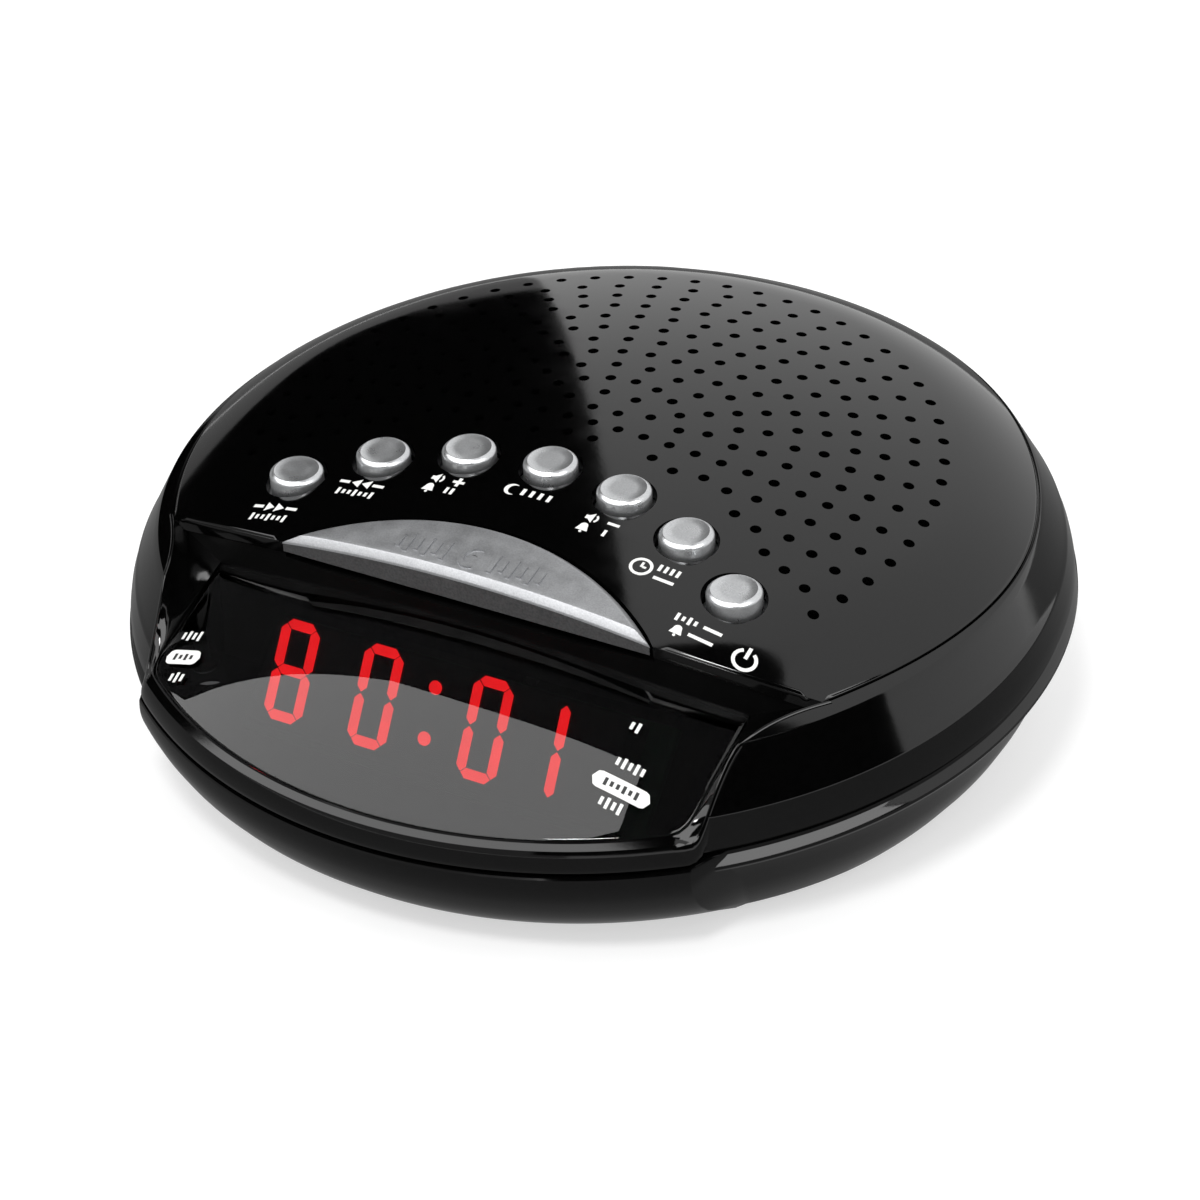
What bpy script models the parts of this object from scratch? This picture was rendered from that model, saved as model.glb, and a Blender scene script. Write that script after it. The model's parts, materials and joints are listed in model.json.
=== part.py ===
"""Compact round clock radio, built as an assembly of separate pieces.

World frame: +X right, +Y to the back, +Z up, origin on the table below the
middle of the body.  Lengths below are in millimetres and become metres on
the way into Blender.  The casing is turned about one axis that leans 6
degrees to the front; everything that follows the casing is modelled in that
leaning "case frame", whose origin is on that axis near the crown of the top.
"""

from math import cos, pi, radians, sin, sqrt

import bmesh
import bpy
from mathutils import Matrix, Vector

MM = 0.001

# ---- driving dimensions (mm, degrees) ------------------------------------
GAP = 0.3                 # clearance between pieces that touch
WALL = 2.2                # moulded wall
TILT = 6.0                # casing axis leans this far to the front
CASE_HEIGHT = 50.0        # origin of the case frame above the table
CASE_Y = -1.9             # and ahead of the middle of the body
DOME_TOP_Z = 1.4          # crown of the top, case frame
DOME_R = 240.0            # radius of the crowned top
DISC_R = 69.7             # edge of the crowned top disc
ROLL_DROP = 2.1           # how far that edge has rolled off below the crown's curve
WING_R = 75.9             # casing radius at the parting line
PART_Z = -25.4            # parting line of the side wings, case frame
CHIN_R = 78.1             # front band and chin, proud of the wings
VISOR_Y = -41.3           # front edge of the top, above the window
WINDOW_X = 49.6           # half width of the window cut-out in the top shell
VISOR_LOW_Z = -17.0       # bottom of the visor's skirt, behind the lens
CHIN_X = 48.5             # half width of the chin
LIP = 2.4                 # thickness of the bezel's side lips
LENS_EDGE_R = 75.6        # round front edge of the domed lens
LENS_EDGE_Z = -21.2
LENS_SLOPE = 0.506        # rise of the lens inward from that edge, easing with LENS_EASE
LENS_EASE = 0.0048
LENS_THICK = 1.4
UNDERSIDE = 2.8           # flat underside above the table
FLOOR_TOP = 6.0           # inner face of the base floor

BUTTON_ARC_Y = -75.5      # centre of the arc that the seven buttons lie on
BUTTON_ARC_R = 62.0
BUTTON_STEP = 12.8        # degrees between buttons
BUTTON_R = 4.3
BUTTON_HOLE_R = 5.05
BUTTON_RISE = 1.6         # cap above the top surface
BUTTON_TRAVEL = 0.8
KEY_BOARD_Z = -16.4       # top face of the key board, case frame
KEY_BOARD_HALF = 7.0      # half width of the board along the arc
SWITCH_SIZE = 6.0
SWITCH_HEIGHT = 3.5

SNOOZE_ARC_Y = -81.7      # centre of the round back edge of the snooze bar
SNOOZE_ARC_R = 51.0
SNOOZE_Y = -41.6          # straight front edge
SNOOZE_DEPTH = 4.8        # height of its front face
SNOOZE_TRAVEL = 1.2
SNOOZE_RISE = 0.9         # bar above the top surface

SPEAKER_Y = 24.0
SPEAKER_R = 28.5
SPEAKER_RIM_Z = -8.7      # top of the driver's rim, case frame
BATTERY = (48.5, 26.5, 17.5)
BATTERY_AT = (-28.5, -12.5)
BAY_WIDTH = 28.0          # opening above the battery cover
COVER_WIDTH = 31.0

SCREW_SPOTS = [(-46.0, 40.0), (46.0, 40.0), (-53.5, -37.5), (53.5, -37.5)]
BOSS_R = 3.6
FOOT_SPOTS = [(-36.0, 40.0), (36.0, 40.0), (-34.0, -44.0), (34.0, -44.0)]
BOARD = (58.0, 44.0, 1.6)
BOARD_AT = (-11.0, 26.0)
BOARD_Z = 11.0
BOARD_SCREWS = [(-36.0, 8.0), (14.6, 30.0)]
ROD_LINE = (BOARD_AT[1] + 17.0, BOARD_Z + 8.6)      # y and z of the ferrite rod
TRANSFORMER_AT = (38.0, 14.0)
DISPLAY_AT = (0.0, -52.0, -20.8)    # middle of the face that shows the digits, case frame
DISPLAY_LEAN = 48.0       # digits lean back this far from upright
DISPLAY = (62.0, 8.0, 17.0)

COVER_TOP = UNDERSIDE + 1.7
CORD_INLET = 26.0         # angle of the mains lead's bushing from the back
AERIAL_OUTLET = -16.0
INLET_R = 70.2            # where the bushings stand on the bowl, case frame
INLET_Z = -40.5
INLET_DIP = 32.0          # the bowl wall faces this far below level there

BUTTON_NAMES = [
    "tune_up_button", "tune_down_button", "volume_up_button", "sleep_button",
    "volume_down_button", "time_set_button", "power_button",
]


# ---- scene helpers ---------------------------------------------------------
def clear_scene():
    for item in list(bpy.data.objects):
        bpy.data.objects.remove(item, do_unlink=True)


def new_collection(name):
    group = bpy.data.collections.new(name)
    bpy.context.scene.collection.children.link(group)
    return group


clear_scene()
PARTS = new_collection("clock_radio")
CUTTERS = new_collection("cutters")


def leaning_frame():
    """Empty that carries everything modelled in the case frame."""
    frame = bpy.data.objects.new("case_frame", None)
    PARTS.objects.link(frame)
    frame.location = (0.0, CASE_Y * MM, CASE_HEIGHT * MM)
    frame.rotation_euler = (radians(TILT), 0.0, 0.0)
    return frame


CASE = leaning_frame()


def material(name, colour, roughness, metallic=0.0):
    """One Principled finish, made once and shared by name."""
    found = bpy.data.materials.get(name)
    if found:
        return found
    finish = bpy.data.materials.new(name)
    finish.use_nodes = True
    shader = finish.node_tree.nodes["Principled BSDF"]
    shader.inputs["Base Color"].default_value = (*colour, 1.0)
    shader.inputs["Roughness"].default_value = roughness
    shader.inputs["Metallic"].default_value = metallic
    return finish


CASE_BLACK = ("case_black", (0.02, 0.02, 0.022), 0.3)
SMOKED = ("smoked_lens", (0.01, 0.01, 0.011), 0.06)
SILVER = ("silver_plastic", (0.52, 0.54, 0.56), 0.35)
BOARD_GREEN = ("circuit_board", (0.03, 0.16, 0.07), 0.5)
CHIP_BLACK = ("chip_black", (0.03, 0.03, 0.03), 0.5)
STEEL = ("zinc_steel", (0.6, 0.6, 0.62), 0.35, 1.0)
PAPER = ("speaker_paper", (0.05, 0.05, 0.05), 0.9)
COPPER = ("copper_wire", (0.6, 0.25, 0.12), 0.35, 1.0)
FERRITE = ("ferrite_grey", (0.06, 0.06, 0.065), 0.6)
RUBBER = ("foot_rubber", (0.03, 0.03, 0.03), 0.85)
IRON = ("core_iron", (0.2, 0.2, 0.21), 0.45, 1.0)
NYLON = ("white_nylon", (0.75, 0.74, 0.7), 0.5)
WIRE = ("cable_jacket", (0.35, 0.35, 0.37), 0.55)
SLEEVE = ("sleeve_blue", (0.03, 0.06, 0.2), 0.35)


def keep(item, finish=None, frame=None, smooth=False):
    """Put an object among the parts, or among the cutters if unfinished."""
    item.parent = frame
    if finish is None:
        CUTTERS.objects.link(item)
        item.hide_render = True
        item.display_type = 'WIRE'
        return item
    PARTS.objects.link(item)
    item.data.materials.append(material(*finish))
    if smooth:
        item.data.shade_smooth()
        item.data.set_sharp_from_angle(angle=radians(35))
    return item


def object_from(name, shape):
    bmesh.ops.recalc_face_normals(shape, faces=shape.faces)
    mesh = bpy.data.meshes.new(name)
    shape.to_mesh(mesh)
    shape.free()
    return bpy.data.objects.new(name, mesh)


def box(name, low, high, finish=None, frame=None, turn=None, bevel=0.0):
    """Block between two corners; a turned block turns about its middle."""
    low, high = Vector(low) * MM, Vector(high) * MM
    size = high - low
    shape = bmesh.new()
    bmesh.ops.create_cube(shape, size=1.0, matrix=Matrix.Diagonal((*size, 1.0)))
    item = keep(object_from(name, shape), finish, frame)
    item.location = (low + high) / 2
    if turn:
        item.rotation_euler = [radians(angle) for angle in turn]
    if bevel:
        add_bevel(item, bevel)
    return item


def rod(name, radius, low, high, at=(0.0, 0.0), finish=None, frame=None, sides=32, tip=None):
    """Upright round bar from low to high, tapering to the radius tip if given."""
    shape = bmesh.new()
    bmesh.ops.create_cone(
        shape, cap_ends=True, segments=sides, radius1=radius * MM,
        radius2=(radius if tip is None else tip) * MM, depth=(high - low) * MM)
    item = keep(object_from(name, shape), finish, frame, smooth=bool(finish))
    item.location = (at[0] * MM, at[1] * MM, (low + high) / 2 * MM)
    return item


def turned(name, profile, finish=None, frame=None, steps=64, closed=False, at=(0.0, 0.0)):
    """Profile of (radius, height) points, run down its outer side, turned full circle."""
    mesh = bpy.data.meshes.new(name)
    points = [(radius * MM, 0.0, height * MM) for radius, height in profile]
    edges = [(i, i + 1) for i in range(len(points) - 1)]
    if closed:
        edges.append((len(points) - 1, 0))
    mesh.from_pydata(points, edges, [])
    item = bpy.data.objects.new(name, mesh)
    keep(item, finish, frame)
    item.location = (at[0] * MM, at[1] * MM, 0.0)
    screw = item.modifiers.new("turn", 'SCREW')
    screw.steps = steps
    screw.render_steps = steps
    screw.use_merge_vertices = True
    screw.merge_threshold = 0.00001
    screw.use_smooth_shade = True
    return item


def plate(name, outline, low, high, finish=None, frame=None):
    """Flat outline of (x, y) points as a filled curve, extruded from low to high."""
    curve = bpy.data.curves.new(name, 'CURVE')
    curve.dimensions = '2D'
    curve.fill_mode = 'BOTH'
    curve.extrude = (high - low) / 2 * MM
    spline = curve.splines.new('POLY')
    spline.points.add(len(outline) - 1)
    for point, (x, y) in zip(spline.points, outline):
        point.co = (x * MM, y * MM, 0.0, 1.0)
    spline.use_cyclic_u = True
    item = solid_from_curve(name, curve)
    keep(item, finish, frame)
    item.location = (0.0, 0.0, (low + high) / 2 * MM)
    return item


def wire(name, route, radius, finish, frame=None):
    """Round lead along a smooth curve through the route's points."""
    curve = bpy.data.curves.new(name, 'CURVE')
    curve.dimensions = '3D'
    curve.bevel_depth = radius * MM
    curve.bevel_resolution = 2
    curve.use_fill_caps = True
    spline = curve.splines.new('POLY')
    points = smooth_route(route, 4)
    spline.points.add(len(points) - 1)
    for point, place in zip(spline.points, points):
        point.co = (*(Vector(place) * MM), 1.0)
    return keep(solid_from_curve(name, curve), finish, frame)


def smooth_route(route, pieces):
    """Catmull-Rom points through a short hand-placed route."""
    stops = [Vector(stop) for stop in route]
    stops = [2 * stops[0] - stops[1]] + stops + [2 * stops[-1] - stops[-2]]
    points = []
    for a, b, c, d in zip(stops, stops[1:], stops[2:], stops[3:]):
        for k in range(pieces):
            t = k / pieces
            points.append(0.5 * (2 * b + (c - a) * t + (2 * a - 5 * b + 4 * c - d) * t * t
                                 + (3 * b - a - 3 * c + d) * t ** 3))
    return points + [stops[-2]]


def solid_from_curve(name, curve):
    """Evaluated curve as one welded closed mesh."""
    guide = bpy.data.objects.new(name + "_guide", curve)
    bpy.context.scene.collection.objects.link(guide)
    view = bpy.context.evaluated_depsgraph_get()
    mesh = bpy.data.meshes.new_from_object(guide.evaluated_get(view))
    bpy.data.objects.remove(guide, do_unlink=True)
    shape = bmesh.new()
    shape.from_mesh(mesh)
    bmesh.ops.remove_doubles(shape, verts=shape.verts, dist=0.000001)
    return object_from(name, shape)


def combine(item, tool, operation='DIFFERENCE'):
    step = item.modifiers.new(operation.lower(), 'BOOLEAN')
    step.operation = operation
    step.object = tool
    return item


def cut(item, *tools):
    for tool in tools:
        combine(item, tool)
    return item


def add_bevel(item, width, segments=2, angle=40):
    step = item.modifiers.new("edges", 'BEVEL')
    step.width = width * MM
    step.segments = segments
    step.limit_method = 'ANGLE'
    step.angle_limit = radians(angle)
    return item


def arc_points(centre, radius, start, end, count):
    """Points on an arc in a plane, angles in degrees."""
    for k in range(count + 1):
        angle = radians(start + (end - start) * k / count)
        yield (centre[0] + radius * cos(angle), centre[1] + radius * sin(angle))


def dome_z(radius):
    """Height of the crowned top at a distance from its axis, case frame."""
    return DOME_TOP_Z + sqrt(DOME_R ** 2 - radius ** 2) - DOME_R


SNOOZE_LOW = dome_z(abs(SNOOZE_Y)) + SNOOZE_RISE - SNOOZE_DEPTH
SNOOZE_SWITCH = (0.0, -33.0)

# ---- casing -----------------------------------------------------------------
DISC_EDGE_Z = dome_z(DISC_R) - ROLL_DROP
TOP_PROFILE = (
    [(r, dome_z(r)) for r in (0.0, 20.0, 40.0, 58.0)]
    + [(65.0, dome_z(65.0) - 0.27 * ROLL_DROP), (DISC_R, DISC_EDGE_Z), (DISC_R + 0.3, DISC_EDGE_Z - 1.8)]
    + [(72.9, -16.4), (74.4, -20.5), (WING_R, PART_Z + 1.0), (WING_R, PART_Z)])

BASE_TOP_Z = PART_Z + 1.5      # the lower case's solids start here and are cut level at the parting
WING_PROFILE = [
    (WING_R, BASE_TOP_Z), (WING_R, PART_Z - GAP), (76.3, -28.6), (74.4, -29.8), (73.6, -33.0), (71.8, -38.0),
    (68.0, -44.0), (62.5, -50.0), (56.0, -55.0),
]
CHIN_PROFILE = [
    (CHIN_R, BASE_TOP_Z), (CHIN_R, PART_Z - GAP), (78.4, -28.0), (77.6, -32.0), (75.2, -36.5),
    (71.0, -41.0), (65.0, -45.0), (60.0, -48.0),
]


def height_at(profile, radius):
    """Height of a profile at a radius, read along its straight runs."""
    for (r1, z1), (r2, z2) in zip(profile, profile[1:]):
        if r1 <= radius <= r2:
            return z1 + (z2 - z1) * (radius - r1) / (r2 - r1)
    return profile[-1][1]


def as_solid(profile):
    """Close an outer profile to the axis at its top and bottom."""
    return [(0.0, profile[0][1])] + profile + [(0.0, profile[-1][1])]


def inner(profile, lift):
    """The same profile one wall further in, with its top carried up past the rim."""
    moved = [(radius - WALL, height + 0.35 * WALL) for radius, height in profile[1:]]
    return [(profile[0][0] - WALL, profile[0][1] + lift)] + moved


def lens_z(radius):
    """Height of the lens surface at a distance from the casing axis, case frame."""
    inward = LENS_EDGE_R - radius
    return LENS_EDGE_Z + LENS_SLOPE * inward - LENS_EASE * inward ** 2


def snooze_outline(grow):
    """Half-moon: straight front edge, round back edge."""
    radius = SNOOZE_ARC_R + grow
    front = SNOOZE_Y - grow
    half = sqrt(radius ** 2 - (front - SNOOZE_ARC_Y) ** 2)
    end = 180 / pi * abs(Vector((half, front - SNOOZE_ARC_Y)).angle(Vector((1.0, 0.0))))
    return list(arc_points((0.0, SNOOZE_ARC_Y), radius, end, 180 - end, 16))


def button_spots():
    """Case-frame centres of the seven buttons, left to right."""
    for k in range(7):
        angle = radians(BUTTON_STEP * (k - 3))
        yield (BUTTON_ARC_R * sin(angle), BUTTON_ARC_Y + BUTTON_ARC_R * cos(angle))


def bowl_limit():
    """Solid a hair inside the outer bowl, for trimming what stands in its wall."""
    found = bpy.data.objects.get("bowl_limit")
    if found:
        return found
    return turned("bowl_limit", as_solid([(radius - 0.2, height) for radius, height in WING_PROFILE]),
                  frame=CASE)


def crown_solid(name, raise_by):
    """Everything below the crowned top, raised or lowered a little."""
    crown = [(radius, dome_z(radius) + raise_by) for radius in (0.0, 15.0, 30.0, 45.0, 60.0, 72.0)]
    return turned(name, crown + [(72.0, -30.0), (0.0, -30.0)], frame=CASE)


def make_top_shell():
    """Upper case: crowned disc, step, side wings, front cut away for the window."""
    shell = turned("top_shell", TOP_PROFILE, CASE_BLACK, CASE)
    wall = shell.modifiers.new("wall", 'SOLIDIFY')
    wall.thickness = WALL * MM
    wall.offset = -1.0
    skirt = box("visor_skirt", (-WINDOW_X - 3.0, VISOR_Y, VISOR_LOW_Z),
                (WINDOW_X + 3.0, VISOR_Y + 2.0, 5.0), frame=CASE)
    combine(skirt, crown_solid("skirt_limit", -0.6), 'INTERSECT')
    cut(shell, box("window_cutter", (-WINDOW_X, -95.0, -30.0), (WINDOW_X, VISOR_Y, 10.0), frame=CASE))
    combine(shell, skirt, 'UNION')
    snooze_floor = SNOOZE_LOW - SNOOZE_TRAVEL - GAP
    cut(shell, plate("snooze_cutter", snooze_outline(0.5), snooze_floor, 5.0, frame=CASE))
    for k, spot in enumerate(button_spots()):
        cut(shell, rod(f"button_hole_{k + 1}", BUTTON_HOLE_R, -20.0, 10.0, spot, frame=CASE))
    for k, spot in enumerate(SCREW_SPOTS):
        top = height_at(TOP_PROFILE, Vector(spot).length + BOSS_R) - 0.9
        post = rod(f"boss_{k + 1}", BOSS_R, -30.0, top, spot, frame=CASE, sides=20)
        combine(shell, post, 'UNION')
        cut(shell, rod(f"boss_bore_{k + 1}", 1.5, -32.0, -16.0, spot, frame=CASE, sides=16))
    return shell


def make_base_shell():
    """Lower case: wing bowl with a bright ridge, front chin, flat underside."""
    shell = turned("base_shell", as_solid(WING_PROFILE), CASE_BLACK, CASE)
    chin = turned("chin_solid", as_solid(CHIN_PROFILE), frame=CASE)
    sector = box("chin_sector", (-CHIN_X, -95.0, -80.0), (CHIN_X, -45.0, 0.0), frame=CASE)
    combine(chin, sector, 'INTERSECT')
    combine(shell, chin, 'UNION')
    cut(shell, box("under_cutter", (-100.0, -100.0, -60.0), (100.0, 100.0, UNDERSIDE)))
    floor = box("floor_block", (-100.0, -100.0, -60.0), (100.0, 100.0, FLOOR_TOP))
    hollow = cut(turned("hollow", as_solid(inner(WING_PROFILE, 5.0)), frame=CASE), floor)
    chin_hollow = turned("chin_hollow", as_solid(inner(CHIN_PROFILE, 5.0)), frame=CASE)
    inner_x = CHIN_X - WALL
    inner_sector = box("inner_sector", (-inner_x, -95.0, -80.0), (inner_x, -45.0, 0.0), frame=CASE)
    combine(chin_hollow, inner_sector, 'INTERSECT')
    cut(chin_hollow, floor)
    cut(shell, hollow, chin_hollow)
    cut(shell, box("parting_cutter", (-100.0, -100.0, PART_Z - GAP), (100.0, 100.0, 20.0), frame=CASE))
    cut_battery_bay(shell)
    for k, spot in enumerate(SCREW_SPOTS):
        add_screw_tower(shell, k, spot)
    cut(shell, inlet_cutter("cord_inlet_cutter", CORD_INLET, 4.3))
    cut(shell, inlet_cutter("aerial_outlet_cutter", AERIAL_OUTLET, 2.8))
    return shell


def add_screw_tower(shell, k, spot):
    """Tower that a case screw passes up through, with its head pocket below."""
    tower = rod(f"tower_{k + 1}", 4.6, -60.0, -30.6, spot, frame=CASE, sides=20)
    combine(tower, bowl_limit(), 'INTERSECT')
    trim = box(f"tower_trim_{k + 1}", (-100.0, -100.0, -90.0), (100.0, 100.0, UNDERSIDE + 1.0))
    cut(tower, trim)
    combine(shell, tower, 'UNION')
    cut(shell, rod(f"shaft_way_{k + 1}", 1.9, -80.0, -28.0, spot, frame=CASE, sides=16))
    cut(shell, rod(f"head_way_{k + 1}", 3.1, -80.0, -36.0, spot, frame=CASE, sides=16))


def cut_battery_bay(shell):
    """Opening above the cover, and the channel that the cover slides out along."""
    x, y = BATTERY_AT
    inner_end = x + BATTERY[0] / 2 + 1.0
    half = BAY_WIDTH / 2
    cut(shell, box("bay_cutter", (x - BATTERY[0] / 2 + 2.0, y - half, 0.0), (inner_end, y + half, 12.0)))
    half = COVER_WIDTH / 2 + GAP
    cut(shell, box("channel_cutter", (-90.0, y - half, 0.0), (inner_end + 3.0, y + half, COVER_TOP + GAP)))


def aim(item, angle):
    """Stand an upright piece on the back wall, square to it, angle measured from the back."""
    item.parent = CASE
    swing = Matrix.Rotation(radians(-angle), 4, 'Z')
    lean = Matrix.Rotation(radians(-90.0 - INLET_DIP), 4, 'X')
    item.matrix_local = swing @ Matrix.Translation((0.0, INLET_R * MM, INLET_Z * MM)) @ lean
    return item


def inlet_cutter(name, angle, radius):
    return aim(rod(name, radius, -9.0, 9.0, sides=20), angle)


def make_bezel_and_lens():
    """Front frame with two side lips and a chin band, and the smoked lens in it."""
    ring = [(40.0, -11.2), (DISC_R + 0.6, -11.2), (73.6, -16.0), (75.2, -20.4), (CHIN_R - 0.5, -22.2),
            (CHIN_R, PART_Z), (40.0, PART_Z)]
    bezel = turned("front_bezel", ring, CASE_BLACK, CASE, closed=True)
    outside = WINDOW_X - GAP
    inside = outside - LIP
    front = box("bezel_sector", (-outside, -95.0, -40.0), (outside, VISOR_Y - GAP, 0.0), frame=CASE)
    combine(bezel, front, 'INTERSECT')
    opening = rod("window_opening", LENS_EDGE_R + GAP, -40.0, 10.0, frame=CASE, sides=64)
    between = box("between_lips", (-inside, -95.0, -50.0), (inside, -20.0, 20.0), frame=CASE)
    combine(opening, between, 'INTERSECT')
    cut(bezel, opening)

    face = [(radius, lens_z(radius)) for radius in (38.0, 48.0, 58.0, 67.0, LENS_EDGE_R)]
    back = [(radius, height - LENS_THICK) for radius, height in reversed(face)]
    lens = turned("display_lens", face + back, SMOKED, CASE, closed=True)
    half = inside - GAP
    sides = box("lens_sector", (-half, -95.0, -50.0), (half, VISOR_Y - GAP, 20.0), frame=CASE)
    combine(lens, sides, 'INTERSECT')
    return bezel, lens


# ---- controls ---------------------------------------------------------------
def make_button(name, spot):
    """Cap above the top, flange below it, stem down to its switch."""
    reach = Vector(spot).length
    top = dome_z(reach) + BUTTON_RISE
    flange_r = BUTTON_HOLE_R + 0.75
    flange = dome_z(reach + flange_r) - WALL - GAP - 0.1
    stem_end = KEY_BOARD_Z + SWITCH_HEIGHT + BUTTON_TRAVEL + 0.1
    profile = [(0.0, top), (BUTTON_R - 0.7, top), (BUTTON_R, top - 0.7), (BUTTON_R, flange),
               (flange_r, flange), (flange_r, flange - 1.0), (1.6, flange - 1.0),
               (1.6, stem_end), (0.0, stem_end)]
    return turned(name, profile, SILVER, CASE, steps=18, at=spot)


def make_snooze_bar():
    """Half-moon bar following the crown, with a post down to its switch."""
    bar = plate("snooze_bar", snooze_outline(0.0), SNOOZE_LOW, 5.0, SILVER, CASE)
    combine(bar, crown_solid("snooze_crown", SNOOZE_RISE), 'INTERSECT')
    stem_end = KEY_BOARD_Z + SWITCH_HEIGHT + SNOOZE_TRAVEL + 0.1
    combine(bar, rod("snooze_post", 1.8, stem_end, SNOOZE_LOW + 1.0, SNOOZE_SWITCH, frame=CASE, sides=16),
            'UNION')
    return add_bevel(bar, 0.5, segments=1)


def make_controls():
    """Seven buttons and the snooze bar over one board with a switch under each."""
    for name, spot in zip(BUTTON_NAMES, button_spots()):
        make_button(name, spot)
    make_snooze_bar()
    centre = (0.0, BUTTON_ARC_Y)
    inner_r = BUTTON_ARC_R - KEY_BOARD_HALF
    outline = list(arc_points(centre, BUTTON_ARC_R + KEY_BOARD_HALF, 42.0, 138.0, 16))
    outline += list(arc_points(centre, inner_r, 138.0, 100.0, 6))
    outline += [(-9.0, SNOOZE_SWITCH[1] - 4.0), (9.0, SNOOZE_SWITCH[1] - 4.0)]
    outline += list(arc_points(centre, inner_r, 80.0, 42.0, 6))
    plate("key_board", outline, KEY_BOARD_Z - 1.6, KEY_BOARD_Z, BOARD_GREEN, CASE)
    names = [f"key_switch_{k + 1}" for k in range(7)] + ["snooze_switch"]
    for name, (x, y) in zip(names, list(button_spots()) + [SNOOZE_SWITCH]):
        half = SWITCH_SIZE / 2
        box(name, (x - half, y - half, KEY_BOARD_Z + GAP), (x + half, y + half, KEY_BOARD_Z + SWITCH_HEIGHT),
            CHIP_BLACK, CASE, bevel=0.4)


# ---- sound ------------------------------------------------------------------
def make_speaker():
    """57 mm driver hung below the grille: frame, cone, magnet and clamp ring."""
    at = (0.0, SPEAKER_Y)
    rim = SPEAKER_RIM_Z
    turned("speaker_frame", [
        (SPEAKER_R - 4.0, rim), (SPEAKER_R, rim), (SPEAKER_R, rim - 1.2), (24.0, rim - 1.6),
        (17.0, rim - 10.5), (15.0, rim - 11.0), (8.6, rim - 11.0), (8.6, rim - 10.0), (16.0, rim - 9.6),
        (22.5, rim - 1.2)], STEEL, CASE, 28, True, at)
    turned("speaker_cone", [
        (0.0, rim - 4.2), (4.0, rim - 4.8), (7.0, rim - 7.0), (19.6, rim - 1.8), (20.8, rim - 0.5),
        (21.9, rim - 0.5), (21.9, rim - 0.9), (20.6, rim - 2.0), (7.4, rim - 8.4), (7.4, rim - 12.5),
        (6.6, rim - 12.5), (6.6, rim - 8.0), (0.0, rim - 5.4)], PAPER, CASE, 28, False, at)
    turned("speaker_magnet", [
        (0.0, rim - 19.0), (8.2, rim - 19.0), (8.2, rim - 11.4), (16.0, rim - 11.4), (16.0, rim - 20.0),
        (0.0, rim - 20.0)], FERRITE, CASE, 28, False, at)
    turned("speaker_clamp_ring", [
        (SPEAKER_R + GAP, rim + 0.8), (SPEAKER_R + 2.0, rim + 0.8), (SPEAKER_R + 2.0, rim - 2.4),
        (25.6, rim - 2.4), (25.6, rim - 1.9), (SPEAKER_R + GAP, rim - 1.9)], NYLON, CASE, 28, True, at)


# ---- display ----------------------------------------------------------------
def make_display():
    """Four-digit module leaning back behind the lens, on its own board."""
    width, depth, height = DISPLAY
    thick = 1.6
    lean = (-DISPLAY_LEAN, 0.0, 0.0)
    back = Matrix.Rotation(radians(-DISPLAY_LEAN), 3, 'X') @ Vector((0.0, 1.0, 0.0))
    face = Vector(DISPLAY_AT)
    centre = face + back * depth / 2
    half = Vector((width / 2, depth / 2, height / 2))
    box("display_module", centre - half, centre + half, CHIP_BLACK, CASE, lean, 0.6)
    centre = face + back * (depth + GAP + thick / 2)
    half = Vector((width / 2 + 4.0, thick / 2, height / 2 + 1.0))
    box("display_board", centre - half, centre + half, BOARD_GREEN, CASE, lean)


# ---- power and radio boards ---------------------------------------------------
def make_boards():
    """Main board with its screws, two chips, a capacitor and the ferrite aerial."""
    x, y = BOARD_AT
    width, depth, thick = BOARD
    top = BOARD_Z + thick
    board = box("main_board", (x - width / 2, y - depth / 2, BOARD_Z), (x + width / 2, y + depth / 2, top),
                BOARD_GREEN)
    for k, spot in enumerate(BOARD_SCREWS):
        cut(board, rod(f"board_hole_{k + 1}", 1.7, 5.0, 20.0, spot, sides=16))
        screw(f"board_screw_{k + 1}", spot, top + GAP + 1.6, FLOOR_TOP + 1.0, 2.8, 1.3)
    box("radio_chip", (x - 20.0, y - 12.0, top + GAP), (x - 2.0, y - 5.0, top + 4.0), CHIP_BLACK, bevel=0.3)
    box("clock_chip", (x + 4.0, y - 16.0, top + GAP), (x + 22.0, y - 3.0, top + 4.5), CHIP_BLACK, bevel=0.3)
    rod("filter_capacitor", 5.5, top + GAP, top + 13.0, (x - 23.0, y + 6.0), SLEEVE, sides=24)
    for k, end in enumerate((-1, 1)):
        clip = box(f"rod_clip_{k + 1}", (x + 21.0 * end - 2.0, y + 11.5, top + GAP),
                   (x + 21.0 * end + 2.0, y + 21.8, top + 8.4), NYLON)
        cut(clip, bar_along_x(f"clip_bore_{k + 1}", 4.3, x - 40.0, x + 40.0, ROD_LINE))
    bar_along_x("ferrite_rod", 4.0, x - 27.0, x + 27.0, ROD_LINE, FERRITE)
    coil = bar_along_x("antenna_coil", 5.6, x - 8.0, x + 8.0, ROD_LINE, COPPER)
    cut(coil, bar_along_x("coil_bore", 4.3, x - 40.0, x + 40.0, ROD_LINE))


def bar_along_x(name, radius, start, end, line, finish=None):
    bar = rod(name, radius, -(end - start) / 2, (end - start) / 2, finish=finish, sides=24)
    bar.rotation_euler = (0.0, radians(90), 0.0)
    bar.location = ((start + end) / 2 * MM, line[0] * MM, line[1] * MM)
    return bar


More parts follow.
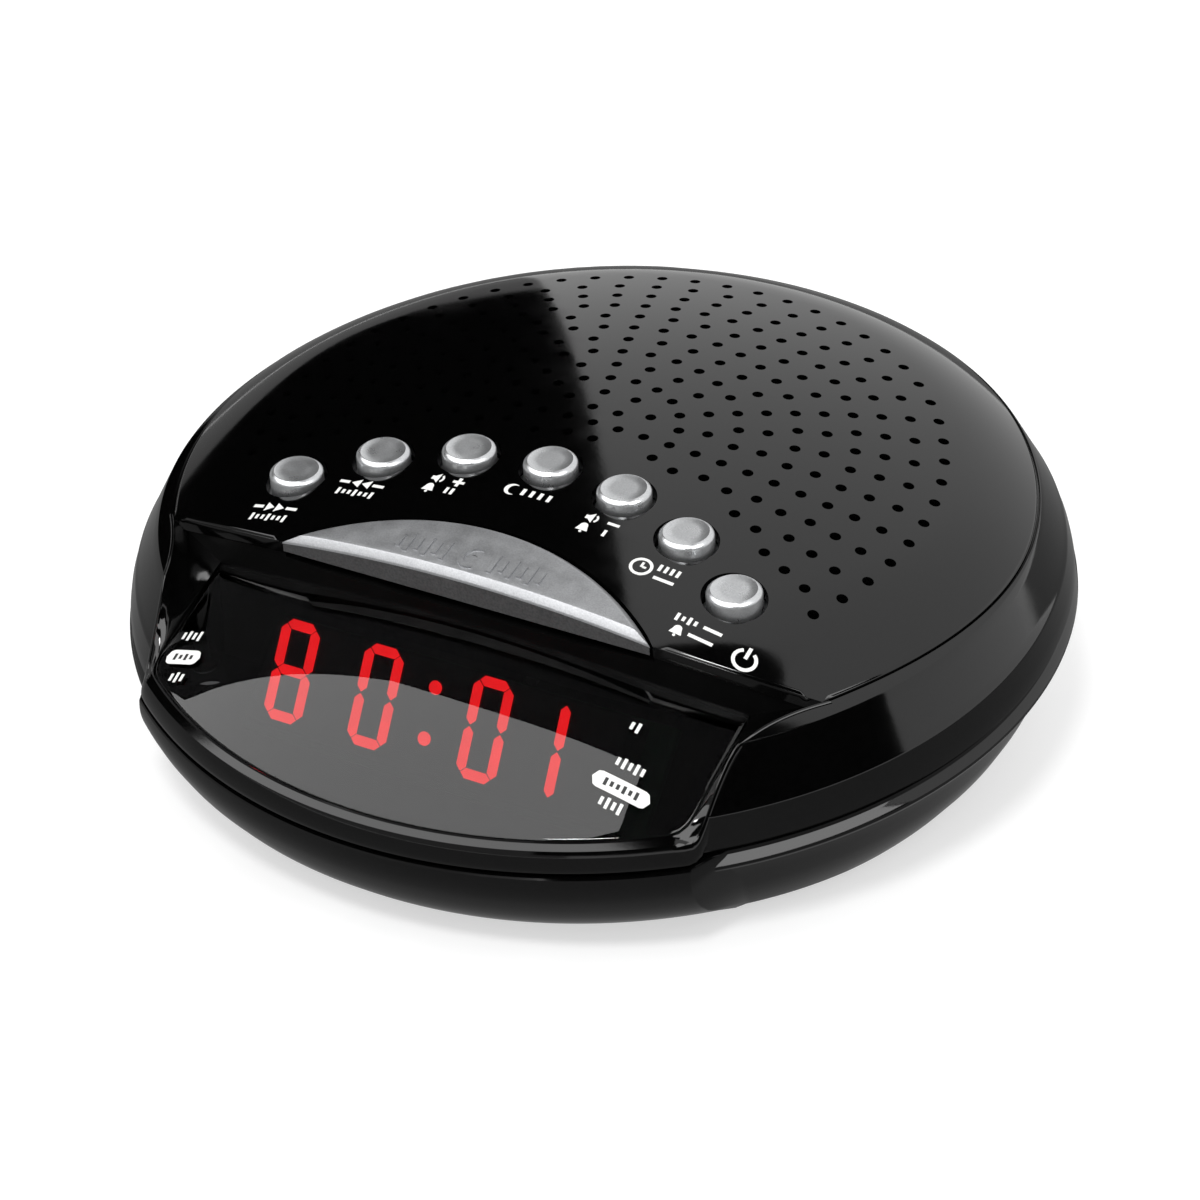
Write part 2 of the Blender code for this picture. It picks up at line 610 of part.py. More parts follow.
def screw(name, spot, head_z, tip_z, head_r, shaft_r, frame=None):
    """Pan-head screw from the crown of its head to its tip, driven up or down."""
    way = 1.0 if tip_z > head_z else -1.0
    profile = [(0.0, head_z), (head_r * 0.7, head_z), (head_r, head_z + 0.9 * way),
               (head_r, head_z + 1.6 * way), (shaft_r, head_z + 1.6 * way),
               (shaft_r, tip_z - 0.8 * way), (0.0, tip_z)]
    if way > 0.0:
        profile.reverse()
    return turned(name, profile, STEEL, frame, 14, at=spot)


def make_power():
    """Mains transformer: iron core with a window, and the winding through it."""
    x, y = TRANSFORMER_AT
    core = box("transformer_core", (x - 14.0, y - 12.0, FLOOR_TOP + GAP), (x + 14.0, y + 12.0, 28.0), IRON,
               bevel=0.5)
    cut(core, box("core_window", (x - 8.0, y - 30.0, 11.5), (x + 8.0, y + 30.0, 23.5)))
    box("transformer_coil", (x - 7.6, y - 16.5, 11.9), (x + 7.6, y + 16.5, 23.1), COPPER, bevel=1.2)


def make_battery():
    """Back-up battery with its snap, in a box closed from below by a sliding cover."""
    x, y = BATTERY_AT
    length, width, height = BATTERY
    left, right = x - length / 2, x + length / 2
    front, back = y - width / 2, y + width / 2
    bottom = FLOOR_TOP + 0.9
    top = bottom + height
    box("backup_battery", (left, front, bottom), (right, back, top), SLEEVE, bevel=1.5)
    box("battery_snap", (right + GAP, y - 12.5, bottom + 1.0), (right + 4.0, y + 12.5, top - 1.0),
        CHIP_BLACK, bevel=0.6)
    tray = box("battery_box", (left - 2.0, front - 1.9, FLOOR_TOP + GAP),
               (right + 6.0, back + 1.9, top + 2.0), CASE_BLACK)
    cut(tray, box("battery_space", (left - 0.5, front - 0.5, 0.0), (right + 4.5, back + 0.5, top + 0.5)))
    cover = box("battery_cover", (-90.0, y - COVER_WIDTH / 2, UNDERSIDE + 0.1),
                (right + 3.5, y + COVER_WIDTH / 2, COVER_TOP), CASE_BLACK)
    combine(cover, bowl_limit(), 'INTERSECT')
    for k in range(4):
        grip_x = x - 18.0 + 3.0 * k
        cut(cover, box(f"grip_{k + 1}", (grip_x, y - 7.0, 0.0), (grip_x + 1.4, y + 7.0, UNDERSIDE + 0.7)))


def make_feet():
    for k, spot in enumerate(FOOT_SPOTS):
        turned(f"foot_{k + 1}", [(0.0, UNDERSIDE - GAP), (6.0, UNDERSIDE - GAP), (6.0, 0.8), (5.2, 0.0),
                                 (0.0, 0.0)], RUBBER, None, 20, at=spot)


def make_grommets():
    """Bushings in the back wall where the mains lead and the wire aerial leave."""
    for name, angle, radius, bore in (("cord_grommet", CORD_INLET, 4.0, 2.4),
                                      ("aerial_grommet", AERIAL_OUTLET, 2.5, 1.0)):
        flange = radius + 1.4
        profile = [(bore, 1.7), (flange - 0.4, 1.7), (flange, 1.3), (flange, 0.5), (radius, 0.5),
                   (radius, -5.0), (bore, -5.0)]
        aim(turned(name, profile, RUBBER, None, 16, True), angle)


def make_leads():
    wire("speaker_lead", [(-19.5, 22.0, 33.0), (-20.0, 21.0, 26.0), (-15.0, 23.0, 18.5), (-10.0, 27.0, 15.0),
                          (-10.0, 28.0, 13.0)], 0.6, WIRE)
    wire("display_ribbon", [(8.0, -36.0, 24.0), (8.0, -30.0, 25.0), (6.0, -14.0, 20.0), (4.0, 2.0, 16.0),
                            (3.0, 5.5, 13.6)], 1.0, WIRE)


def make_case_screws():
    for k, spot in enumerate(SCREW_SPOTS):
        screw(f"case_screw_{k + 1}", spot, -38.2, -18.0, 2.7, 1.2, CASE)


make_top_shell()
make_base_shell()
make_bezel_and_lens()
make_controls()
make_speaker()
make_display()
make_boards()
make_power()
make_battery()
make_feet()
make_grommets()
make_leads()
make_case_screws()
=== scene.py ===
"""Looks of the round clock radio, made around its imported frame.

Lengths are millimetres in the radio's leaning case frame (x right, y back,
z along the casing axis, origin near the crown of the top) unless a comment
says world.  CASE_METRES turns them into the metres of the shared frame.
"""

import json
from math import asin, atan2, ceil, cos, hypot, pi, radians, sin, sqrt

import bmesh
import bpy
from mathutils import Matrix, Vector
from mathutils.geometry import delaunay_2d_cdt


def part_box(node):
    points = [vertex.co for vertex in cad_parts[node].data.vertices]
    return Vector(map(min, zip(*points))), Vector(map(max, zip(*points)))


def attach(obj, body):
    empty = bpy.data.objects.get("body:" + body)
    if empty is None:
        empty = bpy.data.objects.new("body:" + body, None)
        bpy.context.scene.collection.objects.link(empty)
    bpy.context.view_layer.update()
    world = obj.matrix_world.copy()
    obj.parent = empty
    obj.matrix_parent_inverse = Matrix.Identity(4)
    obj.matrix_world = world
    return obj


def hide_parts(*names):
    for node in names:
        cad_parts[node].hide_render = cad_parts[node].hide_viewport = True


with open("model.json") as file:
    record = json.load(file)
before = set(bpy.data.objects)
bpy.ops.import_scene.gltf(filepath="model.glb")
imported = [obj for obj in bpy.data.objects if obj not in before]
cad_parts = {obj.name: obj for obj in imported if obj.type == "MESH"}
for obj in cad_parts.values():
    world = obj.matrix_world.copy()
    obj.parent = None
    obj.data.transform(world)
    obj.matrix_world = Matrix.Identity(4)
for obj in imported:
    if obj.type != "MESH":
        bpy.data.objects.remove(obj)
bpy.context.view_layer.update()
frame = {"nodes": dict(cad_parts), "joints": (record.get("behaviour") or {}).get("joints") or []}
MM = 0.001

# ---- the case frame ----
PRESS_AXIS = next(joint["axis"] for joint in frame["joints"] if joint["name"] == "snooze_press")
TILT = atan2(PRESS_AXIS[1], -PRESS_AXIS[2])      # casing axis leans this far to the front
CASE_Y = -1.9
CASE_HEIGHT = 50.0
CASE = Matrix.Translation((0.0, CASE_Y, CASE_HEIGHT)) @ Matrix.Rotation(TILT, 4, 'X')
CASE_METRES = Matrix.Scale(MM, 4) @ CASE
WORLD_METRES = Matrix.Scale(MM, 4)

# ---- driving sizes ----
DOME_TOP_Z = 1.4          # crowned top disc
DOME_R = 240.0
RIM_R = 69.7              # disc edge at the sides and back
RIM_Z = -11.7
CORNER_R = 67.2           # and at the two front corners, where it stands clear of the shoulder
CORNER_Z = -10.4
CORNER_ANGLE = 58.0       # the corners, degrees from the front
ROLL_R = 57.0             # the disc starts to roll off here, sooner towards the corners
ROLL_SOONER = 9.0
DISC_THICK = 2.0
VISOR_Y = -42.0           # front edge of the disc, above the window
VISOR_SWEEP = 6.4         # it runs back this far at the corners
VISOR_ROUND = 0.5
SHOULDER_R = 70.35        # upper edge of the sloping shoulder
SHOULDER_Z = -12.33
CREASE_R = 74.6
CREASE_Z = -20.2
WING_R = 75.9
PART_Z = -25.4
CHIN_R = 78.1
CHIN_X = 48.5
WINDOW_X = 48.4           # half width of the window where its sides start
WINDOW_FLARE = 8.7        # and how far they flare out on the way to the disc's corners

LENS_X = 46.6
LENS_EDGE_R = 75.6
LENS_EDGE_Z = -21.2
LENS_SLOPE = 0.506
LENS_EASE = 0.0048
LENS_THICK = 1.4
CORNER_SHARPNESS = 70     # higher is a tighter corner where window sides meet the front arc

BUTTON_ARC_Y = -75.5
BUTTON_ARC_R = 62.0
BUTTON_STEP = 12.8
BUTTON_R = 4.3
BUTTON_HOLE = 5.05
BUTTON_RISE = 1.6

SNOOZE_ARC_Y = -80.6
SNOOZE_ARC_R = 50.5
SNOOZE_Y = -41.6
SNOOZE_RISE = 0.9
SNOOZE_DEPTH = 4.8
SNOOZE_GAP = 0.5

HOLE_R = 0.9              # speaker holes
HOLE_PITCH = 4.59
HOLES_PER_RING = [6, 10, 20, 20, 30, 30, 40, 40, 50, 50, 50, 60]
HOLE_TURN = 1.3           # degrees
HOLE_KEEP_OUT = 70.5      # clear of the buttons' arc

DISPLAY_AT = Vector((0.0, -52.0, -20.8))
DISPLAY_LEAN = 48.0
UNDERSIDE = 2.8           # world height of the flat underside
FLOOR_TOP = 6.0           # world height of the base floor's inner face

BUTTONS = [
    "tune_up_button", "tune_down_button", "volume_up_button", "sleep_button",
    "volume_down_button", "time_set_button", "power_button",
]


# ---- materials ----
def add_node(material, kind, **values):
    """Shader node with some of its inputs set; an underscore in an input's name stands for a space."""
    node = material.node_tree.nodes.new(kind)
    for socket, value in values.items():
        node.inputs[socket.replace("_", " ")].default_value = value
    return node


def shader_input(material, socket):
    return material.node_tree.nodes["Principled BSDF"].inputs[socket.replace("_", " ")]


def add_noise(material, scale, stretch=None):
    """Noise over the object's own space, optionally drawn out along an axis."""
    links = material.node_tree.links
    noise = add_node(material, "ShaderNodeTexNoise", Scale=scale, Detail=3.0)
    where = add_node(material, "ShaderNodeTexCoord").outputs["Object"]
    if stretch:
        mapping = add_node(material, "ShaderNodeMapping", Scale=stretch)
        links.new(where, mapping.inputs["Vector"])
        where = mapping.outputs["Vector"]
    links.new(where, noise.inputs["Vector"])
    return noise


def vary(material, source, socket, low, high):
    """Drive one shader value between two values with a pattern."""
    links = material.node_tree.links
    spread = add_node(material, "ShaderNodeMapRange", From_Min=0.3, From_Max=0.7, To_Min=low, To_Max=high)
    links.new(source.outputs[0], spread.inputs["Value"])
    links.new(spread.outputs["Result"], shader_input(material, socket))


def tint(material, source, dark, light):
    """Drive the base colour between two colours with a pattern."""
    links = material.node_tree.links
    ramp = add_node(material, "ShaderNodeValToRGB")
    for stop, position, colour in zip(ramp.color_ramp.elements, (0.3, 0.7), (dark, light)):
        stop.position = position
        stop.color = (*colour, 1.0)
    links.new(source.outputs[0], ramp.inputs["Fac"])
    links.new(ramp.outputs["Color"], shader_input(material, "Base_Color"))


def roughen(material, source, depth):
    """Small bumps from a pattern; depth in metres."""
    links = material.node_tree.links
    bump = add_node(material, "ShaderNodeBump", Strength=1.0, Distance=depth)
    links.new(source.outputs[0], bump.inputs["Height"])
    links.new(bump.outputs["Normal"], shader_input(material, "Normal"))


def mottled(name, dark, light, roughness, metallic, scale, depth, stretch=None, **sockets):
    """Finish with mottled colour, uneven gloss and bumps so many micrometres deep; a number is a grey."""
    dark, light = ((tone, tone, tone * 1.02) if isinstance(tone, float) else tone for tone in (dark, light))
    middle = [(a + b) / 2 for a, b in zip(dark, light)]
    material = bpy.data.materials.new(name)
    material.use_nodes = True
    even = {"Base_Color": (*middle, 1.0), "Roughness": sum(roughness) / 2, "Metallic": metallic, **sockets}
    for socket, value in even.items():
        shader_input(material, socket).default_value = value
    fine = add_noise(material, scale, stretch)
    tint(material, fine, dark, light)
    vary(material, add_noise(material, scale / 12), "Roughness", *roughness)
    if depth:
        roughen(material, fine, depth * 0.000001)
    return material


# name: dark tone, light tone, roughness from and to, metallic, noise scale, bump depth in micrometres
FINISHES = {
    "gloss_black": (0.0006, 0.0013, (0.05, 0.1), 0.0, 1500.0, 1.2),
    "case_satin": (0.006, 0.012, (0.32, 0.42), 0.0, 1800.0, 6.0),
    "button_silver": ((0.56, 0.57, 0.58), (0.68, 0.69, 0.7), (0.26, 0.34), 0.9, 4000.0, 4.0),
    "snooze_grey": ((0.32, 0.325, 0.335), (0.42, 0.425, 0.435), (0.34, 0.44), 0.8, 4000.0, 5.0),
    "circuit_board": ((0.015, 0.1, 0.045), (0.03, 0.17, 0.07), (0.35, 0.5), 0.0, 500.0, 10.0),
    "chip_black": (0.008, 0.016, (0.5, 0.65), 0.0, 2500.0, 10.0),
    "zinc_steel": (0.5, 0.68, (0.25, 0.42), 1.0, 1200.0, 4.0),
    "ferrite_grey": (0.03, 0.06, (0.5, 0.7), 0.0, 2600.0, 10.0),
    "white_nylon": ((0.74, 0.74, 0.72), (0.84, 0.84, 0.82), (0.4, 0.5), 0.0, 1500.0, 4.0),
    "sleeve_blue": ((0.01, 0.03, 0.13), (0.03, 0.06, 0.2), (0.3, 0.42), 0.0, 800.0, 0.0),
    "soft_rubber": (0.012, 0.022, (0.7, 0.85), 0.0, 2200.0, 20.0),
    "cable_jacket": (0.22, 0.32, (0.45, 0.6), 0.0, 1200.0, 0.0),
    "speaker_paper": (0.004, 0.012, (0.85, 0.95), 0.0, 3500.0, 40.0, (1.0, 1.0, 0.3)),
    "core_iron": (0.1, 0.24, (0.35, 0.5), 0.9, 700.0, 20.0, (0.05, 1.0, 12.0)),
    "copper_wire": ((0.4, 0.13, 0.05), (0.75, 0.32, 0.16), (0.25, 0.4), 1.0, 900.0, 40.0, (8.0, 8.0, 0.4)),
}
FINISH = {name: mottled(name, *values) for name, values in FINISHES.items()}
FINISH["smoked_lens"] = mottled("smoked_lens", 0.1, 0.115, (0.0, 0.004), 0.0, 300.0, 0.0,
                                Transmission_Weight=1.0, IOR=1.49)
FINISH["lit_red"] = mottled("lit_red", (0.5, 0.0, 0.0), (0.7, 0.01, 0.01), (0.5, 0.6), 0.0, 2000.0, 0.0,
                            Emission_Color=(1.0, 0.012, 0.016, 1.0), Emission_Strength=7.5)
FINISH["recess_black"] = mottled("recess_black", 0.0006, 0.0012, (0.45, 0.6), 0.0, 1500.0, 4.0,
                                 Specular_IOR_Level=0.12)


# ---- making pieces ----
def place(name, data):
    """Put an object of its own in the scene."""
    item = bpy.data.objects.new(name, data)
    bpy.context.scene.collection.objects.link(item)
    return item


def add_piece(name, mesh, finish, replaced=(), sharp=35.0, body="casing"):
    """Finish a mesh and link it as a piece that rides on a body."""
    mesh.materials.append(FINISH[finish])
    item = place(name, mesh)
    mesh.shade_smooth()
    mesh.set_sharp_from_angle(angle=radians(sharp))
    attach(item, body)
    if replaced:
        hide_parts(*replaced)


def mesh_of(name, points, faces, matrix=CASE_METRES):
    mesh = bpy.data.meshes.new(name)
    mesh.from_pydata([tuple(matrix @ Vector(point)) for point in points], [], faces)
    mesh.update()
    return mesh


class Shape:
    """Points and faces gathered from several closed bodies."""

    def __init__(self, points=(), faces=()):
        self.points = []
        self.faces = []
        self.add(points, faces)

    def add(self, points, faces):
        start = len(self.points)
        self.points += [Vector(point) for point in points]
        self.faces += [tuple(start + corner for corner in face) for face in faces]

    def mesh(self, name, matrix=CASE_METRES):
        """One mesh with every face pointing out."""
        mesh = mesh_of(name, self.points, self.faces, matrix)
        weld(mesh, 0.0)
        return mesh

    def piece(self, name, finish, slot, replaced=(), sharp=35.0, body="casing", join=0.0,
              matrix=CASE_METRES):
        """Add the shape as a piece; points nearer than join, in metres, become one."""
        mesh = self.mesh(name, matrix)
        if join:
            weld(mesh, join)
        add_piece(name, mesh, finish, replaced, sharp, body)


def weld(mesh, distance):
    """Join points nearer than a distance in metres, if it isn't 0, and turn every face outwards."""
    shape = bmesh.new()
    shape.from_mesh(mesh)
    if distance:
        bmesh.ops.remove_doubles(shape, verts=shape.verts, dist=distance)
    bmesh.ops.recalc_face_normals(shape, faces=shape.faces)
    shape.to_mesh(mesh)
    shape.free()


def loft(rows, closed=True, caps=False):
    """Faces over rows of points; closed joins the last row to the first."""
    count = len(rows[0])
    points = [point for row in rows for point in row]
    faces = []
    pairs = list(zip(range(len(rows)), range(1, len(rows))))
    if closed:
        pairs.append((len(rows) - 1, 0))
    for a, b in pairs:
        for k in range(count - 1):
            faces.append((a * count + k, a * count + k + 1, b * count + k + 1, b * count + k))
    if caps:
        faces.append(tuple(a * count for a in range(len(rows))))
        faces.append(tuple(a * count + count - 1 for a in range(len(rows) - 1, -1, -1)))
    return points, faces


def turned(profile, steps, at=(0.0, 0.0)):
    """Closed solid turned from (radius, height) points; the ends lie on the axis."""
    points = [(at[0], at[1], profile[0][1])]
    for radius, height in profile[1:-1]:
        for k in range(steps):
            angle = 2 * pi * k / steps
            points.append((at[0] + radius * cos(angle), at[1] + radius * sin(angle), height))
    points.append((at[0], at[1], profile[-1][1]))
    last = len(points) - 1
    faces = []
    for k in range(steps):
        after = (k + 1) % steps
        faces.append((0, 1 + k, 1 + after))
        for ring in range(len(profile) - 3):
            a = 1 + ring * steps
            faces.append((a + k, a + steps + k, a + steps + after, a + after))
        a = 1 + (len(profile) - 3) * steps
        faces.append((a + k, last, a + after))
    return points, faces


def prism(outline, low, high):
    """Solid between two heights given as functions of (x, y), over a flat outline."""
    count = len(outline)
    points = [(x, y, low(x, y)) for x, y in outline] + [(x, y, high(x, y)) for x, y in outline]
    faces = [tuple(range(count - 1, -1, -1)), tuple(range(count, 2 * count))]
    for k in range(count):
        after = (k + 1) % count
        faces.append((k, after, count + after, count + k))
    return points, faces


def smoothstep(value):
    value = min(1.0, max(0.0, value))
    return value * value * (3 - 2 * value)


# ---- surfaces ----
def dome_z(radius):
    return DOME_TOP_Z + sqrt(DOME_R ** 2 - radius ** 2) - DOME_R


def edge_drop(inset, radius):
    """How far a rounded edge has dropped at a distance inside the edge."""
    inset = max(inset, 0.02)
    if inset >= radius:
        return 0.0
    return radius - sqrt(radius ** 2 - (radius - inset) ** 2)


def corner_share(angle):
    """1 at the front corners of the disc, fading to 0 at its sides; angle from the front."""
    return smoothstep((radians(105.0) - angle) / radians(105.0 - CORNER_ANGLE))


def rim(angle):
    """Radius and height of the disc's edge at an angle from the front."""
    share = corner_share(angle)
    return RIM_R + (CORNER_R - RIM_R) * share, RIM_Z + (CORNER_Z - RIM_Z) * share


def visor_y(x):
    """Front edge of the disc: nearly straight, swept back towards the corners."""
    return VISOR_Y + VISOR_SWEEP * (abs(x) / 57.0) ** 3.3


def disc_z(x, y):
    """Top surface of the disc: crown, roll-off, rounded rim and rounded front edge."""
    reach = hypot(x, y)
    angle = atan2(abs(x), -y)
    edge_r, edge_z = rim(angle)
    roll_r = ROLL_R - ROLL_SOONER * corner_share(angle)
    height = dome_z(reach)
    if reach > roll_r:
        height -= (dome_z(edge_r) - edge_z) * ((reach - roll_r) / (edge_r - roll_r)) ** 2.2
    return height - max(edge_drop(edge_r - reach, 0.4), edge_drop(y - visor_y(x), VISOR_ROUND))


def disc_normal(x, y):
    step = 0.01
    across = disc_z(x + step, y) - disc_z(x - step, y)
    along = disc_z(x, y + step) - disc_z(x, y - step)
    return Vector((-across, -along, 2 * step)).normalized()


def lens_z(radius):
    inward = LENS_EDGE_R - radius
    return LENS_EDGE_Z + LENS_SLOPE * inward - LENS_EASE * inward ** 2


def button_spots():
    for k in range(7):
        angle = radians(BUTTON_STEP * (k - 3))
        yield (BUTTON_ARC_R * sin(angle), BUTTON_ARC_Y + BUTTON_ARC_R * cos(angle))


def speaker_holes():
    """Centres of the grille holes: rings of evenly spaced holes, clear of the buttons."""
    spots = [(0.0, 0.0)]
    for ring, count in enumerate(HOLES_PER_RING, 1):
        for k in range(count):
            angle = 2 * pi * k / count - radians(HOLE_TURN)
            spots.append((ring * HOLE_PITCH * cos(angle), ring * HOLE_PITCH * sin(angle)))
    return [(x, y) for x, y in spots if hypot(x, y - BUTTON_ARC_Y) >= HOLE_KEEP_OUT]


NOTCH_Y = visor_y(31.7)   # where the snooze bar's notch meets the front edge


def circle(centre, radius, count):
    return [(centre[0] + radius * cos(2 * pi * k / count), centre[1] + radius * sin(2 * pi * k / count))
            for k in range(count)]


def snooze_arc(grow, front, count):
    """Round back edge of the half-moon, from its left end to its right end."""
    radius = SNOOZE_ARC_R + grow
    rise = front - SNOOZE_ARC_Y
    half = atan2(sqrt(radius ** 2 - rise ** 2), rise)
    for k in range(count + 1):
        angle = -half + 2 * half * k / count
        yield (radius * sin(angle), SNOOZE_ARC_Y + radius * cos(angle))


# ---- the top disc ----
class Plan:
    """Points and fixed edges of a flat layout that is then triangulated."""

    def __init__(self):
        self.points = []
        self.edges = []

    def path(self, points, closed=False):
        start = len(self.points)
        points = list(points)
        self.points += [Vector(point) for point in points]
        self.edges += [(start + k, start + k + 1) for k in range(len(points) - 1)]
        if closed:
            self.edges.append((start + len(points) - 1, start))

    def triangles(self, inside):
        """Triangles whose middle passes the test, with the points they use."""
        points, _, faces, *_ = delaunay_2d_cdt(self.points, self.edges, [], 0, 0.0001)
        kept = [face for face in faces if inside(*(sum((points[k] for k in face), Vector((0, 0))) / 3))]
        used = sorted({corner for face in kept for corner in face})
        index = {old: new for new, old in enumerate(used)}
        return [points[old] for old in used], [tuple(index[k] for k in face) for face in kept]


def rim_ring(inset):
    """Points just inside the disc's edge, from its right corner round the back to its left."""
    ring = []
    for k in range(241):
        angle = radians(CORNER_ANGLE + (360.0 - 2 * CORNER_ANGLE) * k / 240)
        radius = rim(min(angle, 2 * pi - angle))[0] - inset
        ring.append((radius * sin(angle), -radius * cos(angle)))
    return ring


def disc_layout():
    """Plan of the disc: outline, snooze notch, button holes, grille holes, filling points."""
    plan = Plan()
    edge = rim_ring(0.0)
    corner = edge[0][0]
    notch = list(snooze_arc(SNOOZE_GAP, NOTCH_Y, 40))
    half = notch[-1][0]
    front = [half + (corner - half) * k / 24 for k in range(1, 24)]
    left = [(-x, visor_y(x)) for x in reversed(front)]
    right = [(x, visor_y(x)) for x in front]
    plan.path(edge + left + notch + right, closed=True)
    for inset in (0.08, 0.2, 0.4, 0.9, 1.6):
        plan.path([(x, y) for x, y in rim_ring(inset) if y > visor_y(x) + 0.9])
    for inset in (0.06, 0.14, 0.28, 0.5, 0.85):
        for side in (-1, 1):
            plan.path([(side * x, visor_y(x) + inset) for x in front[1:-2]])
    holes = [(spot, BUTTON_HOLE, 48) for spot in button_spots()]
    holes += [(spot, HOLE_R, 14) for spot in speaker_holes()]
    for spot, radius, count in holes:
        plan.path(circle(spot, radius, count), closed=True)
    spacing = 2.3
    reach = ceil(RIM_R / spacing)
    for row in range(-reach, reach + 1):
        for column in range(-reach, reach + 1):
            x, y = spacing * (column + 0.5 * (row % 2)), spacing * 0.87 * row
            clear = all(hypot(x - cx, y - cy) > radius + 0.5 for (cx, cy), radius, _ in holes)
            notch_clear = hypot(x, y - SNOOZE_ARC_Y) > SNOOZE_ARC_R + SNOOZE_GAP + 0.8
            inside_rim = hypot(x, y) < rim(atan2(abs(x), -y))[0] - 2.2
            if clear and notch_clear and inside_rim and y > visor_y(x) + 1.6:
                plan.points.append(Vector((x, y)))
    return plan, holes


def make_top_disc():
    """Crowned top with its notch and holes, and the wall above the window."""
    plan, holes = disc_layout()

    def inside(x, y):
        if y < visor_y(x) - 0.02 or hypot(x, y - SNOOZE_ARC_Y) < SNOOZE_ARC_R + SNOOZE_GAP:
            return False
        return all(hypot(x - cx, y - cy) > radius for (cx, cy), radius, _ in holes)

    flat, faces = plan.triangles(inside)
    count = len(flat)
    top = [(x, y, disc_z(x, y)) for x, y in flat]
    normals = [disc_normal(x, y) for x, y in flat]
    points = top + [(x, y, z - DISC_THICK) for x, y, z in top]
    under = [tuple(count + k for k in reversed(face)) for face in faces]
    sides = {}
    for face in faces:
        for a, b in zip(face, face[1:] + face[:1]):
            if not sides.pop((b, a), None):
                sides[(a, b)] = True
    walls = [(b, a, count + a, count + b) for a, b in sides]
    mesh = mesh_of("top_disc", points, faces + under + walls)
    add_piece("top_disc", mesh, "gloss_black", ["top_shell"])
    turn = CASE.to_3x3()
    corners = []
    for face in mesh.polygons:
        smooth = face.index < len(faces)
        corners += [turn @ normals[k] if smooth else Vector((0.0, 0.0, 0.0)) for k in face.vertices]
    mesh.normals_split_custom_set(corners)


def make_visor():
    """Dull front wall under the disc's front edge, lower where the snooze bar stands before it."""
    half = list(snooze_arc(SNOOZE_GAP, NOTCH_Y, 2))[-1][0]
    corner = rim_ring(0.0)[0][0] - 0.3
    pocket = dome_z(abs(VISOR_Y)) - SNOOZE_DEPTH - 0.6
    right = [half + 0.02 + (corner - half - 0.02) * k / 24 for k in range(25)]
    right = [(x, disc_z(x, visor_y(x)) - DISC_THICK + 0.01) for x in right]
    columns = [(-x, top) for x, top in reversed(right)]
    columns += [(half * (k / 10 - 1), pocket) for k in range(21)] + right
    set_back, thick, low = 0.3, 1.6, -17.0
    front = [(x, visor_y(x) + set_back, top) for x, top in columns]
    back = [(x, y + thick, top) for x, y, top in front]
    rows = [front, [(x, y, low) for x, y, _ in front], [(x, y, low) for x, y, _ in back], back]
    Shape(*loft(rows, caps=True)).piece("visor_wall", "recess_black", "case_black", ["top_shell"], 30.0)


def make_grille_cloth():
    """Thin black cloth under the grille, its front edge clear of the buttons."""
    outline = []
    centre_y = 20.0
    for k in range(120):
        angle = 2 * pi * k / 120
        reach = 1.0
        while True:
            x, y = reach * cos(angle), centre_y + reach * sin(angle)
            if hypot(x, y) > 57.2 or hypot(x, y - BUTTON_ARC_Y) < 69.2:
                break
            reach += 0.25
        outline.append((x, y))
    rows = [[(x * share, centre_y + (y - centre_y) * share) for x, y in outline + outline[:1]]
            for share in (0.02, 0.25, 0.5, 0.75, 0.9, 1.0)]
    top = [[(x, y, dome_z(hypot(x, y)) - DISC_THICK - 0.7) for x, y in row] for row in rows]
    under = [[(x, y, z - 0.4) for x, y, z in row] for row in reversed(top)]
    Shape(*loft(top + under)).piece("grille_cloth", "speaker_paper", "speaker_paper", join=0.00001)


# ---- shoulder and wings ----
def shoulder_z(radius):
    """Height of the sloping shoulder between its upper edge and the crease."""
    return SHOULDER_Z + (CREASE_Z - SHOULDER_Z) * (radius - SHOULDER_R) / (CREASE_R - SHOULDER_R)


def ledge_z(radius):
    """Height at the front corners: narrow ledge beside the disc, then the shoulder."""
    return min(CORNER_Z - 0.42 - 0.35 * (radius - CORNER_R - 0.42), shoulder_z(radius))


def wing_profile(angle):
    """Profile of the ledge, shoulder and wing at an angle from the front, closed on its inside."""
    edge_r, edge_z = rim(angle)
    foot_r = SHOULDER_R - 0.45 * corner_share(angle)
    foot_z = shoulder_z(foot_r)
    ledge = [(edge_r + 0.26, edge_z - 1.0), (edge_r + 0.28, edge_z - 0.55), (edge_r + 0.42, edge_z - 0.42),
             (foot_r - 0.2, foot_z + 0.1), (foot_r - 0.05, foot_z + 0.04)]
    slope = [(radius, shoulder_z(radius)) for radius in (foot_r + 0.06, 70.9, 71.8, 72.8, 73.7, 74.3)]
    side = [(CREASE_R - 0.12, CREASE_Z + 0.3), (CREASE_R + 0.02, CREASE_Z - 0.1),
            (CREASE_R + 0.14, CREASE_Z - 0.6), (WING_R - 0.45, -22.8), (WING_R - 0.1, -24.4),
            (WING_R, PART_Z + 0.45), (WING_R - 0.12, PART_Z + 0.12), (WING_R - 0.45, PART_Z)]
    inside = [(73.2, PART_Z), (73.0, -23.0), (71.0, -18.0), (68.8, -14.8), (66.0, -14.2), (66.0, -13.2)]
    return ledge + slope + side + inside


def window_x(y):
    """Half width of the window: straight sides flaring out to the disc's corners."""
    return WINDOW_X + WINDOW_FLARE * max(0.0, (y + 60.0) / 24.3) ** 2.2


def window_angle(radius):
    """Angle from the front at which a circle leaves the window."""
    angle, last = radians(30.0), radians(CORNER_ANGLE + 0.5)
    while radius * sin(angle) < window_x(-radius * cos(angle)) + 0.1 and angle < last:
        angle += radians(0.02)
    return angle


